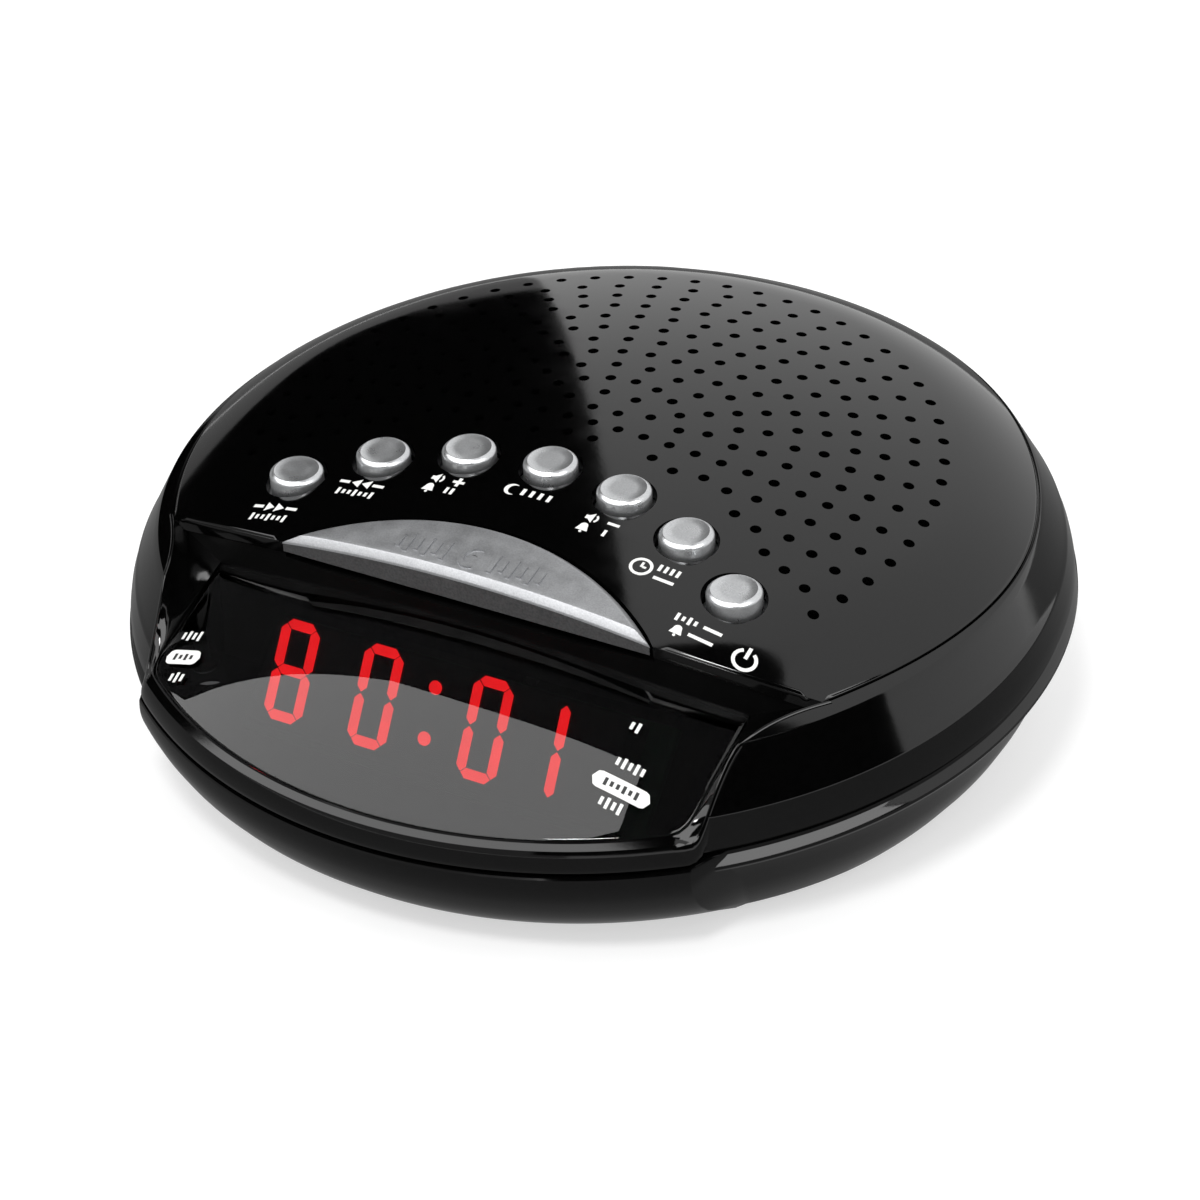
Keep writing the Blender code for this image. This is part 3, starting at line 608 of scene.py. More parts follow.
def make_side_band():
    """Ledge, shoulder and side wings in one sweep from one side of the window round the back."""
    columns = 400
    rows = []
    for k, (front_r, _) in enumerate(wing_profile(0.0)):
        start = window_angle(front_r)
        row = []
        for column in range(columns + 1):
            angle = start + (2 * pi - 2 * start) * column / columns
            radius, height = wing_profile(min(angle, 2 * pi - angle))[k]
            row.append((radius * sin(angle), -radius * cos(angle), height))
        rows.append(row)
    Shape(*loft(rows, caps=True)).piece("side_band", "gloss_black", "case_black", ["top_shell"], 28.0)


# ---- window frame and lens ----
def lip_x(y, out):
    """Half width at a distance outside the window's edge, measured square to that edge."""
    slope = (window_x(y + 0.05) - window_x(y - 0.05)) / 0.1
    return window_x(y) + out * hypot(1.0, slope)


def outline_point(angle, side, front):
    """Point of a window outline in a direction from the front, and its share of the side."""
    swing = max(abs(angle), 0.0001)
    reach = front
    for _ in range(6):
        reach = side(-reach * cos(swing)) / sin(swing)
        reach = min(reach, 2 * front)
    reach = reach if reach > 0 else 2 * front
    a, b = reach ** -CORNER_SHARPNESS, front ** -CORNER_SHARPNESS
    joined = (a + b) ** (-1.0 / CORNER_SHARPNESS)
    return joined, a / (a + b)


def frame_row(side, front, side_height, front_height, top_y):
    """Row of points along the U of the window from its left top to its right top."""
    columns = 220
    end = atan2(side(top_y), -top_y)
    row = []
    for column in range(columns + 1):
        turn = 2.0 * column / columns - 1.0
        angle = end * (0.55 * turn + 0.45 * turn ** 3)
        reach, share = outline_point(angle, side, front)
        height = share * side_height(reach) + (1 - share) * front_height
        row.append((reach * sin(angle), -reach * cos(angle), height))
    return row


def make_window_frame():
    """Raised lips, recess walls and the band under the lens, in one U-shaped piece."""
    lens_side = LENS_X + 0.25
    top_y = visor_y(57.0) + 0.6
    lip_rows = [
        (0.75, CHIN_R - 0.5, -1.5, PART_Z),
        (0.65, CHIN_R - 0.1, -0.5, PART_Z + 0.1),
        (0.5, CHIN_R, 0.0, PART_Z + 0.45),
        (0.38, CHIN_R - 0.02, 0.17, PART_Z + 1.0),
        (0.22, CHIN_R - 0.25, 0.24, PART_Z + 2.1),
        (0.05, CHIN_R - 0.55, 0.2, PART_Z + 2.9),
        (-0.1, CHIN_R - 0.9, 0.02, PART_Z + 3.55),
        (-0.2, CHIN_R - 1.3, -0.4, PART_Z + 3.7),
    ]
    rows = []
    for out, front, lift, height in lip_rows:
        rows.append(frame_row(lambda y: lip_x(y, out), front,
                              lambda reach: ledge_z(reach) + lift, height, top_y))
    for share in (0.3, 0.6, 0.85):
        down = share ** 0.8
        rows.append(frame_row(
            lambda y: lip_x(y, -0.2) * (1 - share) + lens_side * share,
            CHIN_R - 1.3 - (CHIN_R - 1.3 - LENS_EDGE_R - 0.25) * share,
            lambda reach: (ledge_z(reach) - 0.4) * (1 - down) + (lens_z(reach) + 0.2) * down,
            PART_Z + 3.7 + 0.35 * share, top_y))
    inside = [(0.0, 0.25, 0.1, LENS_EDGE_Z + 0.1), (-0.12, 0.12, -0.3, LENS_EDGE_Z - 0.3),
              (-0.12, 0.12, -1.6, LENS_EDGE_Z - 1.6), (1.6, -1.0, -2.5, LENS_EDGE_Z - 3.6)]
    for out, reach_out, drop, height in inside:
        rows.append(frame_row(lambda y: lens_side + out, LENS_EDGE_R + reach_out,
                              lambda reach: lens_z(reach) + drop, height, top_y))
    Shape(*loft(rows, caps=True)).piece("window_frame", "gloss_black", "case_black", ["front_bezel"], 32.0)


def make_lens():
    """Domed smoked lens with a narrow bevel all round its front edge."""
    columns = 160
    top_y = -36.4
    end = atan2(LENS_X, -top_y)
    shares = [k / 12 for k in range(13)]
    insets = [(1.2, 0.0), (0.35, 0.0), (0.14, 0.06), (0.0, 0.3)]
    grid = []
    for column in range(columns + 1):
        turn = 2.0 * column / columns - 1.0
        angle = end * (0.6 * turn + 0.4 * turn ** 3)
        edge, _ = outline_point(angle, lambda y: LENS_X, LENS_EDGE_R)
        back = -top_y / cos(angle)
        line = [(back + (max(edge - 2.4, back) - back) * share, 0.0) for share in shares]
        line += [(max(edge - inset, back), drop) for inset, drop in insets]
        grid.append([(reach * sin(angle), -reach * cos(angle), lens_z(reach) - drop)
                     for reach, drop in line])
    under = [[(x, y, z - LENS_THICK + 0.3) for x, y, z in reversed(line)] for line in grid]
    rows = [top + low for top, low in zip(grid, under)]
    rings = [list(ring) for ring in zip(*rows)]
    Shape(*loft(rings, caps=True)).piece("lens", "smoked_lens", "smoked_lens", ["display_lens"], 40.0,
                                         join=0.000002)


# ---- lower case ----
WING_BOWL = [
    (WING_R - 0.9, PART_Z - 0.75), (WING_R - 0.75, PART_Z - 0.85), (WING_R - 0.7, PART_Z - 1.1),
    (75.3, -26.8), (75.6, -27.1), (76.1, -27.5), (76.4, -27.9), (76.45, -28.4), (76.2, -28.9), (74.8, -30.1),
    (73.6, -33.0), (72.9, -35.4), (71.8, -38.0), (70.2, -41.0), (68.0, -44.0), (65.4, -47.0), (62.5, -50.0),
    (56.0, -55.0),
]
CHIN_BOWL = [
    (CHIN_R - 0.5, PART_Z - 0.75), (CHIN_R - 0.1, PART_Z - 0.85), (CHIN_R + 0.1, PART_Z - 1.1),
    (78.3, -27.2), (78.35, -27.9), (78.35, -28.6), (78.3, -29.2), (78.2, -29.9), (78.05, -30.6),
    (77.8, -31.4), (77.2, -33.0), (76.2, -35.0), (74.6, -37.3), (72.2, -39.8), (69.0, -42.3), (65.4, -44.7),
    (61.0, -47.4), (56.0, -50.0),
]


def bowl_ring(wing, chin):
    """One outline of the lower case: chin arc, slanted facets, wing arc round the back."""
    (wing_r, wing_z), (chin_r, chin_z) = wing, chin
    facet = 0.2 + 0.8 * max(0.0, chin_r - wing_r)
    chin_half = asin((CHIN_X - 0.2) / chin_r)
    wing_half = asin((CHIN_X + facet) / wing_r)
    ring = []
    for k in range(121):
        angle = chin_half * (k / 60 - 1)
        ring.append((chin_r * sin(angle), -chin_r * cos(angle), chin_z))
    for k in range(361):
        angle = wing_half + (2 * pi - 2 * wing_half) * k / 360
        ring.append((wing_r * sin(angle), -wing_r * cos(angle), wing_z))
    return ring + ring[:1]


def cutter(name, solid, matrix=CASE_METRES):
    """Object made of one solid's points and faces."""
    return place(name, Shape(*solid).mesh(name, matrix))


def block(low, high):
    """Points and faces of a box between two corners."""
    outline = [(low[0], low[1]), (high[0], low[1]), (high[0], high[1]), (low[0], high[1])]
    return prism(outline, lambda x, y: low[2], lambda x, y: high[2])


def carve(item, cutters):
    """Cut a list of cutters from an object and remove them."""
    for tool in cutters:
        step = item.modifiers.new("carve", 'BOOLEAN')
        step.operation = 'DIFFERENCE'
        step.object = tool
    view = bpy.context.evaluated_depsgraph_get()
    mesh = bpy.data.meshes.new_from_object(item.evaluated_get(view))
    item.modifiers.clear()
    item.data = mesh
    for tool in cutters:
        bpy.data.objects.remove(tool, do_unlink=True)


def inlet_matrix(node):
    """Frame of a bushing in the back wall: origin at its middle, z out of the wall."""
    low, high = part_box(node)
    middle = CASE.inverted() @ ((low + high) / 2 / MM)
    swing = Matrix.Rotation(-atan2(middle.x, middle.y), 4, 'Z')
    lean = Matrix.Rotation(radians(-90.0 - 32.0), 4, 'X')
    return Matrix.Scale(MM, 4) @ CASE @ Matrix.Translation(middle) @ swing @ lean


def make_base():
    """Lower case: bowl with its ridge and chin, hollow inside, open at the battery bay."""
    rows = [bowl_ring(wing, chin) for wing, chin in zip(WING_BOWL, CHIN_BOWL)]
    top = [(0.0, 0.0, PART_Z - 0.75)] * len(rows[0])
    bottom = [(0.0, 0.0, -64.0)] * len(rows[0])
    bowl = cutter("base_shell_skin", loft([top] + rows + [bottom], closed=False))
    weld(bowl.data, 0.00001)
    wall = 2.2
    hollow = [(0.0, PART_Z + 2.0), (72.6, PART_Z + 2.0)]
    hollow += [(reach - wall, height + 0.8) for reach, height in WING_BOWL[9:]]
    hollow.append((0.0, WING_BOWL[-1][1] + 0.8))
    inside = cutter("inside", turned(hollow, 120))
    solid_floor = block((-100.0, -100.0, -60.0), (100.0, 100.0, FLOOR_TOP))
    carve(inside, [cutter("floor", solid_floor, WORLD_METRES)])
    under = block((-100.0, -100.0, -60.0), (100.0, 100.0, UNDERSIDE))
    low, high = (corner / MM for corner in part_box("battery_cover"))
    gap = 0.3
    channel = block((-90.0, low.y - gap, 0.0), (high.x + gap, high.y + gap, high.z + gap))
    cell_low, cell_high = (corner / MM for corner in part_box("backup_battery"))
    bay = block((cell_low.x + 2.0, low.y + 1.5, 0.0), (cell_high.x + 1.0, high.y - 1.5, 12.0))
    cutters = [inside, cutter("under", under, WORLD_METRES), cutter("channel", channel, WORLD_METRES),
               cutter("bay", bay, WORLD_METRES)]
    for k in range(4):
        low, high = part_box(f"case_screw_{k + 1}")
        spot = CASE.inverted() @ ((low + high) / 2 / MM)
        head_way = [(0.0, -36.0), (3.0, -36.0), (3.0, -80.0), (0.0, -80.0)]
        cutters.append(cutter(f"head_way_{k + 1}", turned(head_way, 40, (spot.x, spot.y))))
    for node, radius in (("cord_grommet", 4.3), ("aerial_grommet", 2.8)):
        way = [(0.0, 8.0), (radius, 8.0), (radius, -8.0), (0.0, -8.0)]
        cutters.append(cutter(node + "_way", turned(way, 40), inlet_matrix(node)))
    carve(bowl, cutters)
    mesh = bowl.data
    bpy.data.objects.remove(bowl, do_unlink=True)
    add_piece("base_bowl", mesh, "gloss_black", ["base_shell"], 24.0)
    tongue = ((74.6, PART_Z - 1.4), (74.6, PART_Z + 1.2), (73.4, PART_Z + 1.2), (73.4, PART_Z - 1.4))
    rows = [[(reach * sin(2 * pi * k / 240), -reach * cos(2 * pi * k / 240), height) for k in range(241)]
            for reach, height in tongue]
    Shape(*loft(rows)).piece("parting_tongue", "chip_black", "case_black", ["base_shell"], join=0.00001)


# ---- controls ----
def make_buttons():
    """Seven caps: flat face in a shallow dish, bevelled rim, straight side, flange and stem."""
    for name, spot in zip(BUTTONS, button_spots()):
        top = dome_z(hypot(*spot)) + BUTTON_RISE
        flange = top - 5.0
        flange_r = BUTTON_HOLE + 0.75
        profile = [(0.0, top - 0.07), (2.0, top - 0.07), (BUTTON_R - 0.95, top - 0.06),
                   (BUTTON_R - 0.8, top - 0.01), (BUTTON_R - 0.72, top), (BUTTON_R - 0.64, top - 0.02),
                   (BUTTON_R - 0.2, top - 0.42), (BUTTON_R - 0.08, top - 0.58), (BUTTON_R, top - 0.85),
                   (BUTTON_R, flange + 0.2), (BUTTON_R + 0.2, flange), (flange_r, flange),
                   (flange_r, flange - 1.0), (1.6, flange - 1.0), (1.6, -11.9), (0.0, -11.9)]
        cap = Shape(*turned(profile, 72, spot))
        cap.piece(name + "_cap", "button_silver", "button_silver", [name], 40.0, name)


def snooze_surface(x, y):
    return dome_z(hypot(x, y)) + SNOOZE_RISE


def snooze_ring(inset, drop):
    """Closed outline of the bar, inset from its edge, at a depth below its top."""
    arc = list(snooze_arc(-inset, SNOOZE_Y + inset, 60))
    half = arc[-1][0]
    front = [(half - 2 * half * k / 60, SNOOZE_Y + inset) for k in range(1, 60)]
    return [(x, y, snooze_surface(x, y) - drop) for x, y in arc + front]


def make_snooze():
    """Half-moon bar: crowned top, bevelled edge, deep front face, relief mark, post."""
    edges = [(1.2, 0.0), (1.06, 0.02), (0.98, 0.07), (0.2, 0.8), (0.09, 0.92), (0.0, 1.15)]
    rings = [snooze_ring(inset, drop) for inset, drop in edges]
    low = snooze_surface(0.0, SNOOZE_Y) - SNOOZE_DEPTH
    rows = [ring + ring[:1] for ring in rings]
    inner = []
    for share in (0.75, 0.5, 0.25, 0.02):
        inner.insert(0, [(x * share, -37.0 + (y + 37.0) * share,
                          snooze_surface(x * share, -37.0 + (y + 37.0) * share)) for x, y, _ in rows[0]])
    plate_foot = [[(x, y, z - 1.4) for x, y, z in row] for row in (rows[0], inner[0])]
    body = prism([(x, y) for x, y, _ in snooze_ring(0.05, 0.0)], lambda x, y: low,
                 lambda x, y: snooze_surface(x, y) - 1.12)
    post = turned([(0.0, low + 0.4), (1.8, low + 0.4), (1.8, -11.6), (0.0, -11.6)], 32, (0.0, -33.0))
    relief = raised(relief_mark(), snooze_surface, 0.2, 0.34)
    slot, bar = "snooze_grey", "snooze_bar"
    cap = Shape(*loft(inner + rows + plate_foot))
    cap.piece("snooze_bar_cap", "snooze_grey", slot, [bar], 40.0, bar, 0.00002)
    Shape(*body).piece("snooze_bar_body", "ferrite_grey", slot, [bar], 35.0, bar)
    Shape(*post).piece("snooze_post", "snooze_grey", slot, [bar], 40.0, bar)
    relief.piece("snooze_relief", "snooze_grey", slot, (), 30.0, bar)


# ---- marks ----
def raised(outlines, surface, below, above):
    """Prisms over flat outlines, from a little below a surface to a little above it."""
    shape = Shape()
    for outline in outlines:
        shape.add(*prism(outline, lambda x, y: surface(x, y) - below, lambda x, y: surface(x, y) + above))
    return shape


def stroke(start, end, width):
    """Straight bar between two points."""
    start, end = Vector(start), Vector(end)
    side = (end - start).normalized().orthogonal() * width / 2
    return [tuple(start - side), tuple(end - side), tuple(end + side), tuple(start + side)]


def arc_stroke(centre, radius, start, end, width, count):
    """Quadrilaterals along an arc, angles in degrees."""
    bars = []
    for k in range(count):
        a, b = (radians(start + (end - start) * (k + step) / count) for step in (0, 1))
        inner, outer = radius - width / 2, radius + width / 2
        bars.append([(centre[0] + inner * cos(a), centre[1] + inner * sin(a)),
                     (centre[0] + outer * cos(a), centre[1] + outer * sin(a)),
                     (centre[0] + outer * cos(b), centre[1] + outer * sin(b)),
                     (centre[0] + inner * cos(b), centre[1] + inner * sin(b))])
    return bars


def crescent(centre, radius, count=24):
    """Moon as short quadrilaterals, widest in the middle and pointed at its ends."""
    bars = []
    for k in range(count):
        corners = []
        for step, width in ((k, 0.0), (k, 1.0), (k + 1, 1.0), (k + 1, 0.0)):
            angle = radians(60.0 + 240.0 * step / count)
            reach = radius * (1.0 - width * (0.04 + 0.5 * sin(pi * step / count)))
            corners.append((centre[0] + reach * cos(angle), centre[1] + reach * sin(angle)))
        bars.append(corners)
    return bars


def relief_mark():
    """Raised mark on the snooze bar: a moon between two rows of short rails."""
    y = -37.6
    marks = crescent((-0.3, y), 2.2)
    for side in (-1, 1):
        for k in range(3):
            x = -0.5 + side * (5.0 + 3.2 * k)
            marks.append(stroke((x - 0.8 * side, y - 1.9), (x - 0.8 * side, y + 1.9), 0.75))
            marks.append(stroke((x + 0.8 * side, y - 1.2), (x + 0.8 * side, y + 1.2), 0.75))
    return marks


def speaker_icon(x, y):
    """Small loudspeaker: box and horn."""
    return [[(x - 1.0, y - 0.4), (x - 0.5, y - 0.4), (x + 0.3, y - 1.1), (x + 0.3, y + 1.1),
             (x - 0.5, y + 0.4), (x - 1.0, y + 0.4)]]


def bell_icon(x, y):
    """Bell: dome, rim and clapper."""
    body = [(x + 0.7 * cos(radians(a)), y + 0.2 + 0.8 * sin(radians(a))) for a in range(0, 181, 20)]
    return [body + [(x - 1.0, y - 0.7), (x + 1.0, y - 0.7)], circle((x, y - 1.0), 0.25, 8)]


def arrow_icon(x, y, way):
    return [[(x - 0.7 * way, y - 0.95), (x + 0.8 * way, y), (x - 0.7 * way, y + 0.95)]]


def ticks(x, y, heights):
    """Row of short upright bars of given heights."""
    first = x - 0.5 * (len(heights) - 1)
    return [stroke((first + k, y - height / 2), (first + k, y + height / 2), 0.5)
            for k, height in enumerate(heights)]


def button_marks():
    """Plain marks in front of each button, in button order, then the power symbol."""
    spots = [(-37.9, -35.5), (-26.7, -27.5), (-13.9, -23.0), (-0.3, -20.5), (13.3, -22.9), (25.7, -28.0),
             (36.3, -35.7)]
    marks = []

    def dash(start, end, y, width=0.6):
        marks.append(stroke((start, y), (end, y), width))

    for k, (x, y) in enumerate(spots):
        upper, lower = y + 1.15, y - 1.15
        if k in (0, 1):
            way = 1 if k == 0 else -1
            marks += arrow_icon(x - 1.0, upper, way) + arrow_icon(x + 0.8, upper, way)
            dash(x + 2.0, x + 4.0, upper)
            dash(x - 4.0, x - 2.2, upper)
            marks += ticks(x, lower, [1.5, 0.9, 0.9, 1.5, 0.9, 0.9, 1.5])
        if k in (2, 4):
            marks += speaker_icon(x - 1.6, upper)
            marks += arc_stroke((x - 1.5, upper), 0.9, -50, 50, 0.35, 6)
            dash(x + 1.2, x + 3.2, upper, 0.55)
            if k == 2:
                marks.append(stroke((x + 2.2, upper - 1.0), (x + 2.2, upper - 0.27), 0.55))
                marks.append(stroke((x + 2.2, upper + 0.27), (x + 2.2, upper + 1.0), 0.55))
            marks += bell_icon(x - 1.8, lower - 0.1)
            marks += ticks(x + 1.8, lower, [1.4] * (2 if k == 2 else 1))
        if k == 3:
            marks += crescent((x - 2.6, y), 1.3)
            marks += [stroke((x - 0.6 + 1.5 * bar, y - 0.75), (x - 0.6 + 1.5 * bar, y + 0.75), 0.6)
                      for bar in range(4)]
        if k == 5:
            marks += arc_stroke((x - 2.2, y), 1.6, 0, 360, 0.5, 28)
            marks.append(stroke((x - 2.2, y - 0.1), (x - 2.2, y + 0.95), 0.4))
            dash(x - 1.98, x - 1.4, y, 0.4)
            marks += ticks(x + 2.0, upper - 0.1, [1.4] * 4)
            dash(x + 0.4, x + 3.8, lower)
        if k == 6:
            marks += ticks(x - 1.8, upper, [1.5, 0.9, 1.5, 0.9])
            dash(x + 1.0, x + 4.0, upper)
            marks += bell_icon(x - 2.2, lower - 0.1)
            dash(x - 0.4, x + 3.6, lower)
    power = (45.0, -36.6)
    marks += arc_stroke(power, 1.7, -240, 60, 0.55, 30)
    marks.append(stroke((power[0], power[1] + 0.2), (power[0], power[1] + 2.3), 0.55))
    return marks


def pill(x, y, length, height, slices=16):
    """Bar with round ends, cut into upright slices that can follow a curved surface."""
    def reach(across):
        beyond = max(0.0, abs(across) - (length - height) / 2)
        return sqrt(max(0.0004, (height / 2) ** 2 - beyond ** 2))

    edges = [length * (k / slices - 0.5) for k in range(slices + 1)]
    return [[(x + a, y - reach(a)), (x + b, y - reach(b)), (x + b, y + reach(b)), (x + a, y + reach(a))]
            for a, b in zip(edges, edges[1:])]


def lens_marks():
    """Pills and short dashes printed on the lens beside the digits."""
    marks = pill(-41.8, -57.3, 6.4, 2.5) + pill(35.6, -58.3, 9.4, 2.6)
    for x, y, count in ((-42.6, -53.4, 4), (-40.8, -60.9, 3), (33.0, -48.7, 2), (35.3, -54.7, 5),
                        (35.3, -61.1, 4)):
        marks += ticks(x, y, [1.7 if k % 2 else 1.2 for k in range(count)])
    return marks


def pill_dashes():
    """Dark dashes inside the two pills."""
    return ticks(-41.8, -57.3, [1.1, 0.7, 1.1, 0.7]) + ticks(35.6, -58.3, [1.2, 0.8, 0.8, 1.2, 0.8, 1.2])


def make_marks():
    """White print as thin raised prints, on the disc and on the lens, and the pills' dark dashes."""
    def on_lens(x, y):
        return lens_z(hypot(x, y))

    prints = [("disc_print", "white_nylon", raised(button_marks(), disc_z, 0.05, 0.04)),
              ("lens_print", "white_nylon", raised(lens_marks(), on_lens, 0.05, 0.05)),
              ("pill_dashes", "chip_black", raised(pill_dashes(), on_lens, 0.0, 0.09))]
    for name, finish, shape in prints:
        shape.piece(name, finish, finish, (), 30.0)


# ---- digits ----
def segment(start, end, width):
    """Bar with pointed ends between two points of a digit cell."""
    start, end = Vector(start), Vector(end)
    along = (end - start).normalized()
    side = along.orthogonal() * width / 2
    tip = along * width / 2
    return [start, start + tip - side, end - tip - side, end, end - tip + side, start + tip + side]


def digit_outlines():
    """Lit segments of the display, in the plane of its face."""
    height, width, bar, gap = 15.6, 6.8, 1.55, 0.16
    w, h = (width - bar) / 2, (height - bar) / 2
    segments = {
        "top": ((-w, h), (w, h)), "middle": ((-w, 0.0), (w, 0.0)), "bottom": ((-w, -h), (w, -h)),
        "upper_left": ((-w, h), (-w, 0.0)), "upper_right": ((w, h), (w, 0.0)),
        "lower_left": ((-w, 0.0), (-w, -h)), "lower_right": ((w, 0.0), (w, -h)),
    }
    zero = [name for name in segments if name != "middle"]
    digits = [(-24.6, list(segments)), (-9.6, zero), (9.6, zero), (24.6, ["upper_left", "lower_left"])]
    outlines = []
    for centre, lit in digits:
        for name in lit:
            start, end = (Vector(point) for point in segments[name])
            inset = (end - start).normalized() * gap
            outline = segment(start + inset, end - inset, bar)
            outlines.append([(centre + point.x, point.y) for point in outline])
    for up in (-3.9, 3.9):
        outlines.append(circle((0.0, up), 1.05, 24))
    return outlines


def make_digits():
    """Red segments raised a little from the display module's face."""
    lean = radians(DISPLAY_LEAN)
    out = Vector((0.0, -cos(lean), sin(lean)))
    up = Vector((0.0, sin(lean), cos(lean)))
    slant, aside, lift = 0.129, -0.7, 0.3
    shape = Shape()
    for outline in digit_outlines():
        flat = [(x + aside - slant * y, y + lift) for x, y in outline]
        points, faces = prism(flat, lambda x, y: 0.02, lambda x, y: 0.3)
        shape.add([DISPLAY_AT + Vector((x, 0.0, 0.0)) + up * y + out * z for x, y, z in points], faces)
    shape.piece("lit_digits", "lit_red", None, (), 30.0)


# ---- bushings ----
def make_bushings():
    """Rubber bushings in the back wall, with a rounded flange and an open bore."""
    for node, radius, bore in (("cord_grommet", 4.0, 2.4), ("aerial_grommet", 2.5, 1.0)):
        flange = radius + 1.4
        middle = -1.65
        profile = [(bore, 1.5), (bore + 0.2, 1.7), (flange - 0.5, 1.7), (flange - 0.15, 1.55), (flange, 1.2),
                   (flange, 0.6), (flange - 0.1, 0.5), (radius, 0.5), (radius, -5.0), (bore, -5.0)]
        rows = [[(reach * cos(2 * pi * k / 48), reach * sin(2 * pi * k / 48), height - middle)
                 for k in range(49)] for reach, height in profile]
        ring = Shape(*loft(rows))
        ring.piece(node + "_ring", "soft_rubber", "soft_rubber", [node], 40.0, join=0.00001,
                   matrix=inlet_matrix(node))


# ---- nodes that keep their own shape ----
NODE_KINDS = {
    "circuit_board": ("key_board", "display_board", "main_board"),
    "chip_black": ("key_switch", "snooze_switch", "display_module", "radio_chip", "clock_chip",
                   "battery_snap", "speaker_clamp_ring"),
    "sleeve_blue": ("filter_capacitor", "backup_battery"),
    "ferrite_grey": ("ferrite_rod", "speaker_magnet"),
    "copper_wire": ("antenna_coil", "transformer_coil"),
    "core_iron": ("transformer_core",),
    "white_nylon": ("rod_clip",),
    "zinc_steel": ("board_screw", "case_screw", "speaker_frame"),
    "speaker_paper": ("speaker_cone",),
    "case_satin": ("battery_box", "battery_cover"),
    "soft_rubber": ("foot",),
    "cable_jacket": ("speaker_lead", "display_ribbon"),
}


def finish_nodes():
    """Give every node that stays visible the material of its kind."""
    for name, item in frame["nodes"].items():
        for finish, kinds in NODE_KINDS.items():
            if name.startswith(kinds):
                item.data.materials.clear()
                item.data.materials.append(FINISH[finish])


# ---- floor, light and camera ----
AIM = Vector((12.9, -23.1, 33.5)) * MM
CAMERA_AZIMUTH = 28.834
CAMERA_ELEVATION = 30.531
CAMERA_DISTANCE = 0.55
CAMERA_LENS = 107.35


def direction(azimuth, elevation):
    """Unit vector towards a point of the sky; azimuth in degrees from +Y towards +X."""
    a, e = radians(azimuth), radians(elevation)
    return Vector((sin(a) * cos(e), cos(a) * cos(e), sin(e)))


def square(name, half, height):
    """Level square mesh about the origin, in metres."""
    corners = [(-half, -half, height), (half, -half, height), (half, half, height), (-half, half, height)]
    return mesh_of(name, corners, [(0, 1, 2, 3)], Matrix())


def make_floor():
    """Large white floor, a little brighter than the light that falls on it."""
    mesh = square("floor", 6.0, 0.0)
    material = mottled("floor_paper", (0.5, 0.5, 0.5), (0.54, 0.54, 0.54), (0.85, 0.95), 0.0, 40.0, 0.0,
                       Emission_Color=(1.0, 1.0, 1.0, 1.0), Emission_Strength=0.55)
    mesh.materials.append(material)
    place("floor", mesh)


def sky_patch(name, azimuths, elevations, strength, reach=2.0, slant=0.0):
    """Card seen only in reflections: black flag or soft light on a sphere of a radius in metres.

    A slant moves the second azimuth back by so many degrees per degree below 60 degrees up.
    """
    columns, levels = 24, 16
    rows = []
    for level in range(levels + 1):
        elevation = elevations[0] + (elevations[1] - elevations[0]) * level / levels
        last = azimuths[1] - slant * max(0.0, 60.0 - elevation)
        rows.append([direction(azimuths[0] + (last - azimuths[0]) * k / columns, elevation) * reach
                     for k in range(columns + 1)])
    reflected_only(name, mesh_of(name, *loft(rows, closed=False), Matrix()), strength)


def floor_card():
    """Grey card on the floor that only the gloss sees, so the lower case stays dark."""
    reflected_only("floor_card", square("floor_card", 0.9, 0.0006), 0.22)


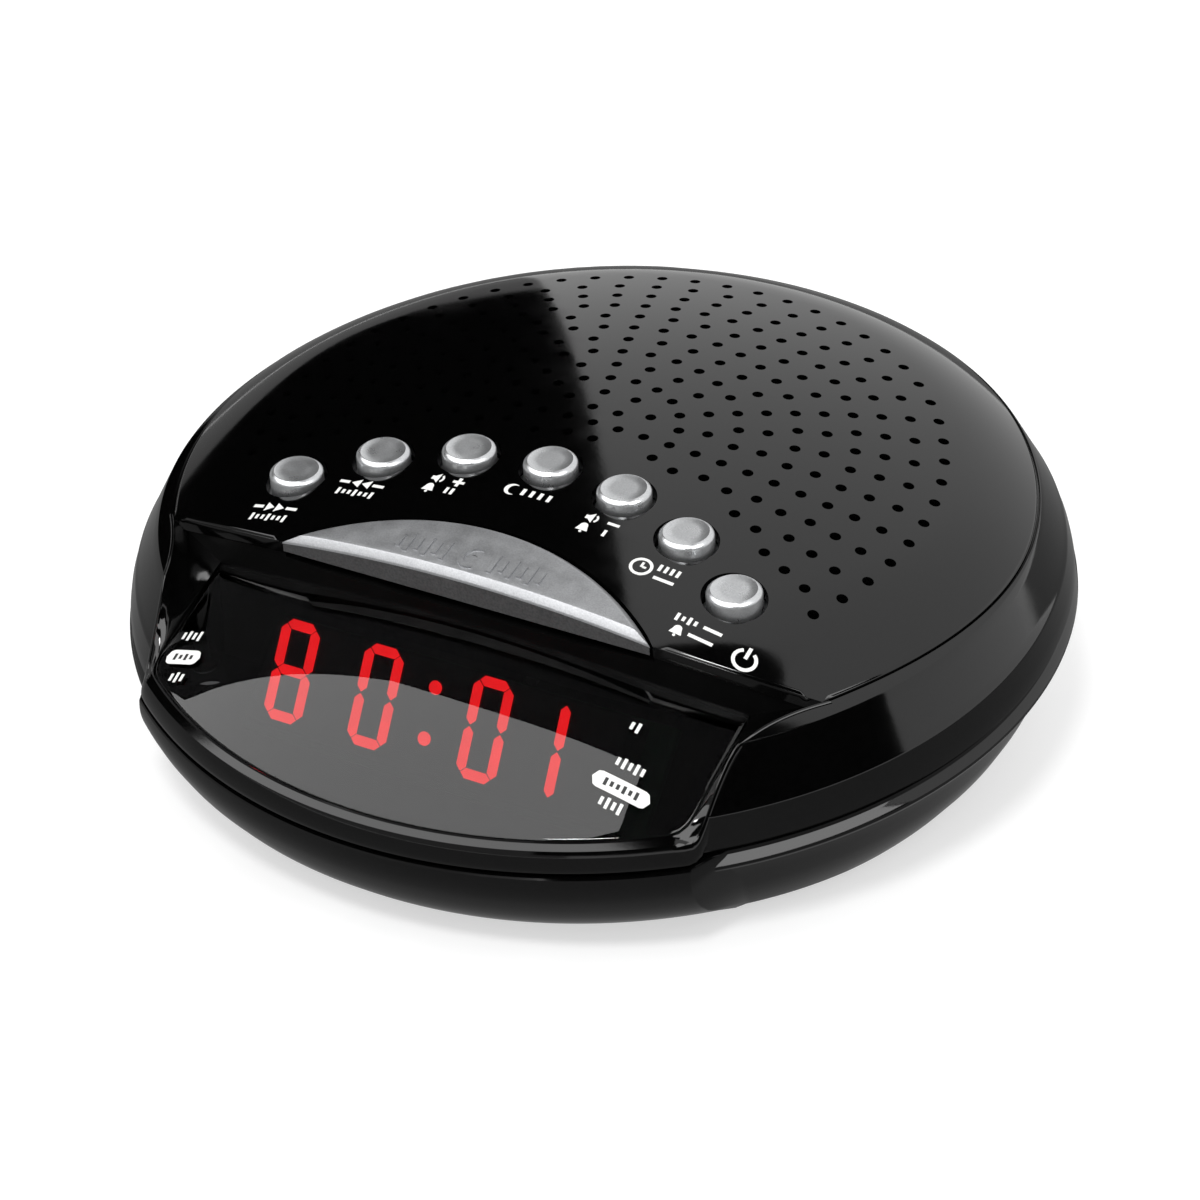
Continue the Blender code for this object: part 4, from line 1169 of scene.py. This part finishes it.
def reflected_only(name, mesh, strength):
    """Stage a glowing mesh that shows in reflections and nowhere else."""
    material = bpy.data.materials.new(name)
    material.use_nodes = True
    tree = material.node_tree
    tree.nodes.remove(tree.nodes["Principled BSDF"])
    glow = add_node(material, "ShaderNodeEmission", Color=(1.0, 1.0, 1.0, 1.0), Strength=strength)
    tree.links.new(glow.outputs["Emission"], tree.nodes["Material Output"].inputs["Surface"])
    mesh.materials.append(material)
    card = place(name, mesh)
    card.visible_camera = False
    card.visible_diffuse = False
    card.visible_shadow = False
    card.visible_transmission = False


def soft_light(name, azimuth, elevation, distance, size, power):
    light = bpy.data.lights.new(name, 'AREA')
    light.shape = 'DISK'
    light.size = size
    light.energy = power
    lamp = place(name, light)
    away = direction(azimuth, elevation)
    lamp.location = AIM + away * distance
    lamp.rotation_euler = away.to_track_quat('Z', 'Y').to_euler()


def make_studio():
    """White surround with black flags that draw the dark shapes in the gloss."""
    world = bpy.data.worlds.new("studio")
    world.use_nodes = True
    background = world.node_tree.nodes["Background"]
    background.inputs["Color"].default_value = (1.0, 1.0, 1.0, 1.0)
    background.inputs["Strength"].default_value = 1.0
    bpy.context.scene.world = world
    bpy.context.scene.view_settings.view_transform = 'Standard'
    sky_patch("flag_left", (-100.0, -33.0), (12.0, 89.9), 0.0, 2.1)
    sky_patch("flag_top", (-33.0, 85.0), (73.0, 89.9), 0.0)
    sky_patch("flag_camera", (85.0, 167.0), (5.0, 89.9), 0.0)
    sky_patch("card_ridge", (86.0, 132.0), (28.0, 62.0), 4.0, 1.9)
    sky_patch("softbox_front", (-193.0, -80.0), (30.0, 89.9), 3.0, slant=0.38)
    sky_patch("card_low", (-200.0, -33.0), (0.0, 29.8), 0.3, 2.3)
    floor_card()
    soft_light("rim_light", 165.0, 58.0, 1.2, 0.25, 6.0)


def make_camera():
    camera = bpy.data.cameras.new("camera")
    camera.lens = CAMERA_LENS
    camera.sensor_width = 36.0
    camera.clip_start = 0.01
    view = place("camera", camera)
    away = direction(180.0 - CAMERA_AZIMUTH, CAMERA_ELEVATION)
    view.location = AIM + away * CAMERA_DISTANCE
    view.rotation_euler = away.to_track_quat('Z', 'Y').to_euler()
    bpy.context.scene.camera = view


make_camera()
make_floor()
make_studio()
finish_nodes()
make_top_disc()
make_visor()
make_grille_cloth()
make_side_band()
make_window_frame()
make_lens()
make_base()
make_buttons()
make_snooze()
make_marks()
make_digits()
make_bushings()
